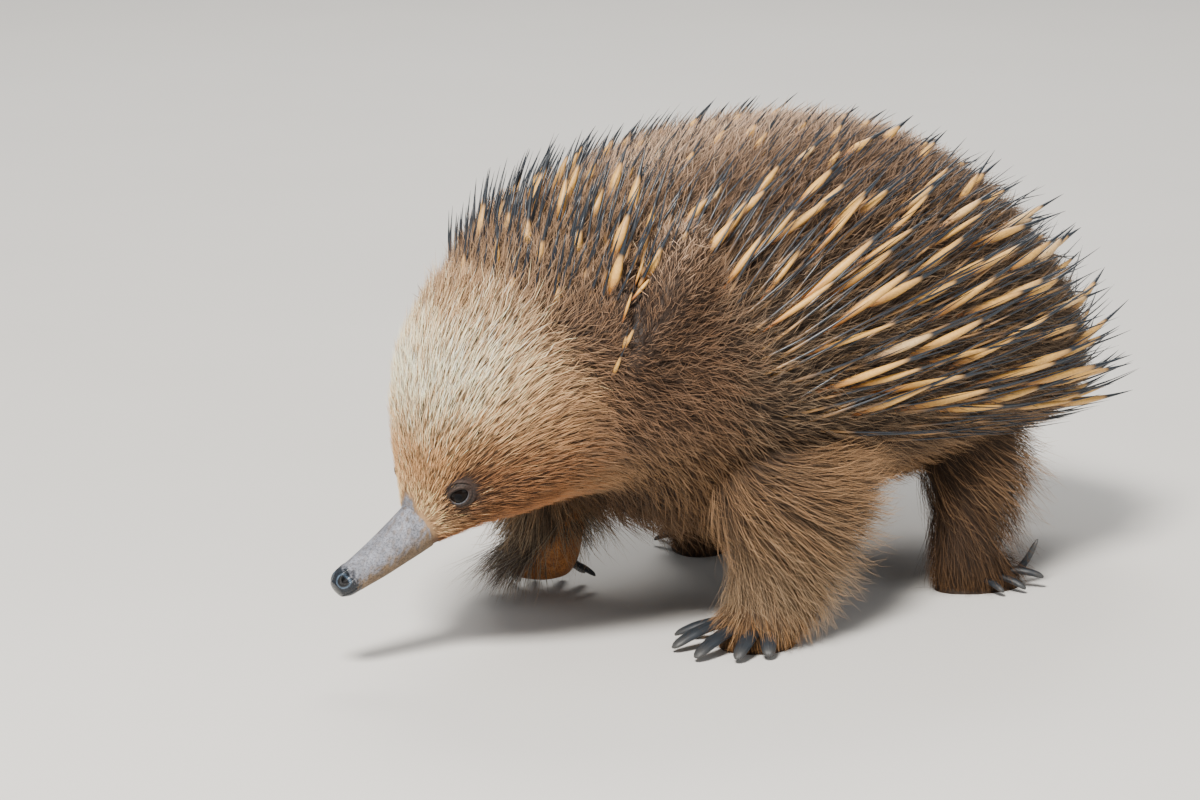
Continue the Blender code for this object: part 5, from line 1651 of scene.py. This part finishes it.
def tail_spines(girth, rng, count):
    """Short spines over the tail."""
    u, v = rng.uniform(0.35, 0.96, count), rng.uniform(0, 2 * math.pi, count)
    root, outward = TAIL.place(u, v), TAIL.normal(u, v)
    along = unit(np.array((0.97, 0.0, 0.05)) + outward * np.array((0.0, 0.5, 0.3)))
    tip = root + along * rng.uniform(0.020, 0.027, count)[:, None]
    tip[:, 2] = np.maximum(tip[:, 2], 0.030)
    uv = np.stack((u, v / (2 * math.pi)), -1) * 0.1 + 0.88
    return {
        "root": root - outward * 0.001, "tip": held_in(root, tip), "outward": outward, "uv": uv,
        "girth": np.full(count, 0.0017 * girth), "start": np.full(count, 0.5),
    }


def spine_tree(name, profile, material):
    """Geometry nodes that stand a tapered, bent spine on every point."""
    tree = bpy.data.node_groups.new(name, "GeometryNodeTree")
    face = tree.interface
    face.new_socket(name="Geometry", in_out="INPUT", socket_type="NodeSocketGeometry")
    for label, default in (("Sides", 8), ("Rings", 12), ("Seed", 4)):
        face.new_socket(name=label, in_out="INPUT", socket_type="NodeSocketInt").default_value = default
    face.new_socket(name="Geometry", in_out="OUTPUT", socket_type="NodeSocketGeometry")

    def add(kind, options=None, sockets=None):
        made = tree.nodes.new(kind)
        for option, value in (options or {}).items():
            setattr(made, option, value)
        for socket, value in (sockets or {}).items():
            if isinstance(value, bpy.types.NodeSocket):
                tree.links.new(value, made.inputs[socket])
            else:
                made.inputs[socket].default_value = value
        return made

    def maths(operation, one, other):
        return add("ShaderNodeMath", {"operation": operation}, {0: one, 1: other}).outputs[0]

    def times(vector, number):
        return add("ShaderNodeVectorMath", {"operation": "SCALE"}, {0: vector, "Scale": number}).outputs[0]

    def triple(x, y, z):
        return add("ShaderNodeCombineXYZ", None, {0: x, 1: y, 2: z}).outputs[0]

    def named(label, kind="FLOAT"):
        made = add("GeometryNodeInputNamedAttribute", {"data_type": kind}, {"Name": label})
        return made.outputs["Attribute"]

    def marked(geometry, label, value):
        made = add("GeometryNodeStoreNamedAttribute", {"data_type": "FLOAT", "domain": "POINT"}, {
            "Geometry": geometry, "Name": label, "Value": value,
        })
        return made.outputs["Geometry"]

    entry = add("NodeGroupInput")
    tube = add("GeometryNodeMeshCylinder", {"fill_type": "TRIANGLE_FAN"}, {
        "Vertices": entry.outputs["Sides"], "Side Segments": entry.outputs["Rings"],
        "Radius": 1.0, "Depth": 1.0,
    })
    where = add("ShaderNodeSeparateXYZ", None, {0: add("GeometryNodeInputPosition").outputs[0]})
    x, y, z = (where.outputs[k] for k in range(3))
    along = maths("ADD", z, 0.5)
    curve = add("ShaderNodeFloatCurve", None, {"Value": along})
    points = curve.mapping.curves[0].points
    while len(points) < len(profile):
        points.new(0.5, 0.5)
    for point, place in zip(points, profile):
        point.location = place
        point.handle_type = "AUTO_CLAMPED"
    curve.mapping.update()
    girth = curve.outputs[0]
    shaped = add("GeometryNodeSetPosition", None, {
        "Geometry": marked(marked(tube.outputs["Mesh"], "along", along), "edge", x),
        "Position": triple(maths("MULTIPLY", x, girth), maths("MULTIPLY", y, girth), along),
    })
    turn = add("FunctionNodeAlignRotationToVector", {"axis": "Z"}, {"Vector": named("aim", "FLOAT_VECTOR")})
    chance = add("FunctionNodeRandomValue", {"data_type": "FLOAT"}, {"Seed": entry.outputs["Seed"]})
    copies = add("GeometryNodeInstanceOnPoints", None, {
        "Points": marked(entry.outputs["Geometry"], "tone", chance.outputs[1]),
        "Instance": shaped.outputs[0], "Rotation": turn.outputs[0],
        "Scale": triple(named("girth"), named("girth"), named("tall")),
    })
    real = add("GeometryNodeRealizeInstances", None, {"Geometry": copies.outputs[0]})
    marks, start = named("along"), named("start")
    base = add("ShaderNodeMapRange", None, {"Value": marks, "From Max": DARK_FROM, "To Max": start})
    point = add("ShaderNodeMapRange", None, {
        "Value": marks, "From Min": DARK_FROM, "From Max": 1.0, "To Max": maths("SUBTRACT", 1.0, start),
    })
    far = maths("ADD", base.outputs[0], point.outputs[0])
    slide = maths("MULTIPLY", maths("SUBTRACT", far, marks), named("tall"))
    moved = add("ShaderNodeVectorMath", {"operation": "ADD"}, {
        0: times(named("aim", "FLOAT_VECTOR"), slide),
        1: times(named("bend", "FLOAT_VECTOR"), maths("POWER", far, 2.0)),
    })
    bent = add("GeometryNodeSetPosition", None, {"Geometry": real.outputs[0], "Offset": moved.outputs[0]})
    horn = add("GeometryNodeSetMaterial", None, {"Geometry": bent.outputs[0], "Material": material})
    add("NodeGroupOutput", None, {0: horn.outputs[0]})
    return tree


def spine_piece(name, groups, sides, rings, profile, material, seed):
    """Points with a direction and sizes, turned to spines by the tree and made a plain mesh."""
    parts = {key: np.concatenate([group[key] for group in groups]) for key in SPINE_KEYS}
    chord = parts["tip"] - parts["root"]
    size = np.linalg.norm(chord, axis=-1)
    bend = parts["outward"] * (-0.10 * size)[:, None]
    aim = chord - bend
    tall = np.linalg.norm(aim, axis=-1)
    mesh = bpy.data.meshes.new(name)
    mesh.from_pydata([tuple(p) for p in parts["root"] + SHIFT], [], [])
    give_vector(mesh, "aim", unit(aim))
    give_vector(mesh, "bend", bend)
    for label, values in (
        ("girth", parts["girth"]), ("tall", tall), ("start", parts["start"]),
        ("at_u", parts["uv"][:, 0]), ("at_v", parts["uv"][:, 1]),
    ):
        give_number(mesh, label, values)
    obj = bpy.data.objects.new(name, mesh)
    bpy.context.scene.collection.objects.link(obj)
    modifier = obj.modifiers.new("spines", "NODES")
    modifier.node_group = spine_tree(name, profile, material)
    for item in modifier.node_group.interface.items_tree:
        if item.name in ("Sides", "Rings", "Seed"):
            modifier[item.identifier] = {"Sides": sides, "Rings": rings, "Seed": seed}[item.name]
    made = evaluated(obj)
    bpy.data.meshes.remove(mesh)
    made.name = name
    values = {}
    for label in ("at_u", "at_v", "along", "edge"):
        store = np.empty(len(made.vertices), np.float32)
        made.attributes[label].data.foreach_get("value", store)
        values[label] = store
    for layer in [layer.name for layer in made.uv_layers]:
        made.uv_layers.remove(made.uv_layers[layer])
    uv = np.stack((
        values["at_u"] + PATCH * (values["along"] - 0.5), values["at_v"] + PATCH * 0.5 * values["edge"],
    ), -1)
    give_patches(made, np.clip(uv, 0.0005, 0.9995))
    for label in ("at_u", "at_v", "edge", "aim", "bend", "girth", "tall", "start"):
        if label in made.attributes:
            made.attributes.remove(made.attributes[label])
    made.shade_smooth()
    return add_piece(made, "back_coat", material)


def make_spines():
    """The thick spines of the body, the tail and the ears, and the thin ones between them."""
    _, spines, colours = settings()
    rng = np.random.default_rng(17)
    thick = body_spines("thick", spines.thick_spacing, 9000, 1.0, rng)
    thin = body_spines("thin", spines.thin_spacing, 18000, spines.thin_girth, rng, thick["cloud"])
    share = rng.uniform(0.70, 1.0, len(thin["root"]))[:, None]
    thin["tip"] = thin["root"] + (thin["tip"] - thin["root"]) * share
    stout = [thick, tail_spines(0.9, rng, 16)] + ear_spines(rng)
    pale, dark = spine_material("spine_horn", colours), thin_spine_material(colours)
    spine_piece("spines_thick", stout, spines.sides, spines.rings, THICK_PROFILE, pale, 3)
    spine_piece("spines_thin", [thin], 6, 5, THIN_PROFILE, dark, 9)


def thin_spine_material(colours):
    """Thin spines: dark for most of their length, a few with a paler base."""
    shade = Shade("spine_thin_horn", Specular_IOR_Level=0.5)
    along, tone = shade.attribute("along"), shade.attribute("tone")
    streak = shade.noise(800.0, 2.0)
    # Grey-blue streaks on the dark horn: partly streaked horn, partly painted highlight.
    dark = shade.mix(streak, rgba(colours.spine_dark), rgba("28303A"))
    base = shade.mix(tone, rgba("5E4630"), rgba("BE9058"))
    turn = shade.ramp(along, (0.36, 0.0), (0.56, 1.0))
    return shade.finish(Base_Color=shade.mix(turn, base, dark), Roughness=0.27 + streak * 0.1)


def coat_windows():
    """The pieces of the body's coat: name, window, tufts and slot."""
    coat = settings()[0]
    left, right = (-math.pi / 2, math.pi / 2), (math.pi / 2, math.pi * 1.5)
    rows = (
        ("head", 0.0, 4.5, coat.head_tufts, "head_coat"),
        ("neck", 4.45, 6.4, coat.neck_tufts, "neck_coat"),
        ("torso_front", 6.35, 9.0, coat.back_tufts, "back_coat"),
        ("torso_rear", 8.95, 12.98, coat.back_tufts, "back_coat"),
    )
    for part, t0, t1, count, slot in rows:
        for word, (v0, v1) in (("left", left), ("right", right)):
            yield f"coat_{part}_{word}", (t0, t1, v0, v1), share_of(count), slot


def kept_outside(places, surface, tree, reach=0.0008):
    """Leaves out the places that lie inside the skin, where one part runs into another."""
    u, v = places
    root = surface.place(u, v) + SHIFT
    near = np.array([tree.find_nearest(Vector(p))[3] < reach for p in root])
    return u[near], v[near]


def skin_tree():
    """The skin's faces, to find the nearest of them."""
    skin = bpy.data.objects["echidna_skin"].data
    return BVHTree.FromPolygons([v.co for v in skin.vertices], [tuple(p.vertices) for p in skin.polygons])


def coat_share(t, v):
    """Density of the tufts: none where the skin is bare, most round the beak and the eyes."""
    return (1 - bare_share(t, v)) * (0.62 + 0.38 * (1 - smooth(t, 1.0, 2.4) * smooth(-t, -4.6, -2.6)))


def make_body_coat():
    colours = settings()[2]
    tree = skin_tree()
    for k, (name, window, count, slot) in enumerate(coat_windows()):
        rng = np.random.default_rng(100 + k)
        places = scatter(SKIN, window, count, rng, coat_share)
        if not name.startswith("coat_head"):
            places = kept_outside(places, SKIN, tree, 0.0015)
        step = 0.12 if name.startswith("coat_neck") else 0.03
        mesh = dress(name, SKIN, window, places, body_style(colours), rng, step=step)
        add_piece(mesh, slot, coat_material(f"fur_{name[5:]}"))


def tail_style(colours):
    """The style function of the tail's hair."""

    def style(u, v, outward, rng):
        under = smooth(-outward[:, 2], 0.0, 0.7)
        tips = mixed(np.array(colours.back), np.array(colours.belly) * 0.8, under)
        return {
            "length": np.full(u.shape, 0.0085), "lean": 27, "wide": 0.00034,
            "lie": np.array((1.0, 0.0, -0.15)), "tips": tips, "guard": 1.25,
            "base": np.full(u.shape, 0.1), "fade": 1.2, "shady": 0.34, "clump": 0.3, "contrast": 1.0,
            "spread": 0.14, "ruffle": 6.0, "curl": 0.04, "sag": 0.0,
        }

    return style


def make_tail_coat():
    coat, _, colours = settings()
    rng = np.random.default_rng(300)
    window = (0.02, 0.98, 0.0, 2 * math.pi)
    places = kept_outside(scatter(TAIL, window, share_of(coat.tail_tufts), rng), TAIL, skin_tree())
    mesh = dress("coat_tail", TAIL, window, places, tail_style(colours), rng)
    add_piece(mesh, "back_coat", coat_material("fur_tail"))


def palm_hair(u, v):
    """Density of the tufts of the lifted leg: none on its palm."""
    return 1 - palm_share(u, v)


def make_limb_coat():
    coat, _, colours = settings()
    counts = {"foreleg_left": coat.foreleg_tufts, "foreleg_right": coat.lifted_tufts}
    tree = skin_tree()
    for k, name in enumerate(LIMBS):
        rng = np.random.default_rng(200 + k)
        surface = LIMB_SKINS[name]
        window = (0.05, len(LIMBS[name]) - 1.0, 0.0, 2 * math.pi)
        count = share_of(counts.get(name, coat.hindleg_tufts))
        thin = palm_hair if name == "foreleg_right" else None
        places = kept_outside(scatter(surface, window, count, rng, thin), surface, tree)
        mesh = dress(f"coat_{name}", surface, window, places, limb_style(name, colours), rng, levels=4)
        add_piece(mesh, "leg_coat", coat_material(f"fur_{name}"))


def make_eyes():
    material = eye_material()
    for word, side in SIDES:
        make_eye(word, side, material)


def area_light(name, place, aim, size, energy, tint):
    light = bpy.data.lights.new(name, "AREA")
    light.shape = "RECTANGLE"
    light.size, light.size_y = size
    light.energy = energy
    light.color = tint
    obj = bpy.data.objects.new(name, light)
    obj.location = place
    obj.rotation_euler = (Vector(aim) - Vector(place)).to_track_quat("-Z", "Y").to_euler()
    bpy.context.scene.collection.objects.link(obj)


def place_camera(scene):
    """A camera that looks at the target along the photograph's line of sight."""
    az, el = math.radians(VIEW_AZIMUTH), math.radians(VIEW_ELEVATION)
    back = Vector((math.sin(az) * math.cos(el), -math.cos(az) * math.cos(el), math.sin(el)))
    right = Vector((math.cos(az), math.sin(az), 0))
    data = bpy.data.cameras.new("camera")
    data.lens = VIEW_LENS
    data.sensor_width = 36
    data.clip_start = 0.05
    data.clip_end = 50
    camera = bpy.data.objects.new("camera", data)
    turned_to = Matrix((right, back.cross(right), back)).transposed().to_4x4()
    place = Vector(VIEW_TARGET) + Vector(SHIFT) + back * VIEW_DISTANCE
    camera.matrix_world = Matrix.Translation(place) @ turned_to
    scene.collection.objects.link(camera)
    scene.camera = camera


def make_stage():
    """Floor, soft daylight, three lights and the camera."""
    scene = bpy.context.scene
    bm = bmesh.new()
    bmesh.ops.create_grid(bm, x_segments=2, y_segments=2, size=6.0)
    mesh = bpy.data.meshes.new("studio_floor")
    bm.to_mesh(mesh)
    bm.free()
    floor = bpy.data.objects.new("studio_floor", mesh)
    scene.collection.objects.link(floor)
    mesh.materials.append(floor_material())
    world = bpy.data.worlds.new("studio_air")
    world.use_nodes = True
    sky = world.node_tree.nodes["Background"].inputs
    sky["Color"].default_value = (0.94, 0.97, 1.0, 1.0)
    sky["Strength"].default_value = 0.37
    scene.world = world
    area_light("key", (-1.5, -0.8, 2.0), (-0.05, 0, 0.1), (0.6, 0.6), 160, (1.0, 0.95, 0.88))
    area_light("fill", (-0.2, -2.2, 0.9), (0, 0, 0.1), (1.6, 1.0), 10, (0.97, 0.98, 1.0))
    area_light("rim", (1.2, 1.3, 1.7), (0, 0, 0.12), (1.0, 0.8), 34, (1.0, 0.96, 0.90))
    place_camera(scene)


class ECHIDNA_OT_skin(bpy.types.Operator):
    """Make the one skin of the body, beak, ears, lids and limbs"""

    bl_idname = "echidna.skin"
    bl_label = "Skin"

    def execute(self, context):
        make_skin()
        return {"FINISHED"}


class ECHIDNA_OT_eyes(bpy.types.Operator):
    """Make the two eyes"""

    bl_idname = "echidna.eyes"
    bl_label = "Eyes"

    def execute(self, context):
        make_eyes()
        return {"FINISHED"}


class ECHIDNA_OT_claws(bpy.types.Operator):
    """Make the claws of the four feet"""

    bl_idname = "echidna.claws"
    bl_label = "Claws"

    def execute(self, context):
        make_claws()
        return {"FINISHED"}


class ECHIDNA_OT_spines(bpy.types.Operator):
    """Grow the thick and the thin spines"""

    bl_idname = "echidna.spines"
    bl_label = "Spines"

    def execute(self, context):
        make_spines()
        return {"FINISHED"}


class ECHIDNA_OT_body_coat(bpy.types.Operator):
    """Grow the fur of the head, neck and torso"""

    bl_idname = "echidna.body_coat"
    bl_label = "Body coat"

    def execute(self, context):
        make_body_coat()
        return {"FINISHED"}


class ECHIDNA_OT_limb_coat(bpy.types.Operator):
    """Grow the long hair of the legs"""

    bl_idname = "echidna.limb_coat"
    bl_label = "Leg hair"

    def execute(self, context):
        make_limb_coat()
        make_tail_coat()
        return {"FINISHED"}


class ECHIDNA_OT_stage(bpy.types.Operator):
    """Set the floor, the lights and the camera"""

    bl_idname = "echidna.stage"
    bl_label = "Stage"

    def execute(self, context):
        make_stage()
        return {"FINISHED"}


class ECHIDNA_PT_panel(bpy.types.Panel):
    """Lists the sizes, the colours and the pieces"""

    bl_idname = "ECHIDNA_PT_panel"
    bl_label = "Echidna"
    bl_space_type = "VIEW_3D"
    bl_region_type = "UI"
    bl_category = "Echidna"

    def draw(self, context):
        for group in settings():
            for name in group.__annotations__:
                self.layout.prop(group, name)
        for operator in OPERATORS:
            self.layout.operator(operator.bl_idname)


GROUPS = {
    "echidna_coat": EchidnaCoat, "echidna_spines": EchidnaSpines, "echidna_colours": EchidnaColours,
}
OPERATORS = (
    ECHIDNA_OT_stage, ECHIDNA_OT_skin, ECHIDNA_OT_eyes, ECHIDNA_OT_claws, ECHIDNA_OT_spines,
    ECHIDNA_OT_body_coat, ECHIDNA_OT_limb_coat,
)


def register():
    for kind in tuple(GROUPS.values()) + OPERATORS + (ECHIDNA_PT_panel,):
        bpy.utils.register_class(kind)
    for name, kind in GROUPS.items():
        setattr(bpy.types.Scene, name, PointerProperty(type=kind))


def unregister():
    for name in GROUPS:
        delattr(bpy.types.Scene, name)
    for kind in (ECHIDNA_PT_panel,) + OPERATORS[::-1] + tuple(GROUPS.values())[::-1]:
        bpy.utils.unregister_class(kind)


def main():
    register()
    for operator in OPERATORS:
        getattr(bpy.ops.echidna, operator.bl_idname.split(".")[1])()


if __name__ == "__main__":
    main()
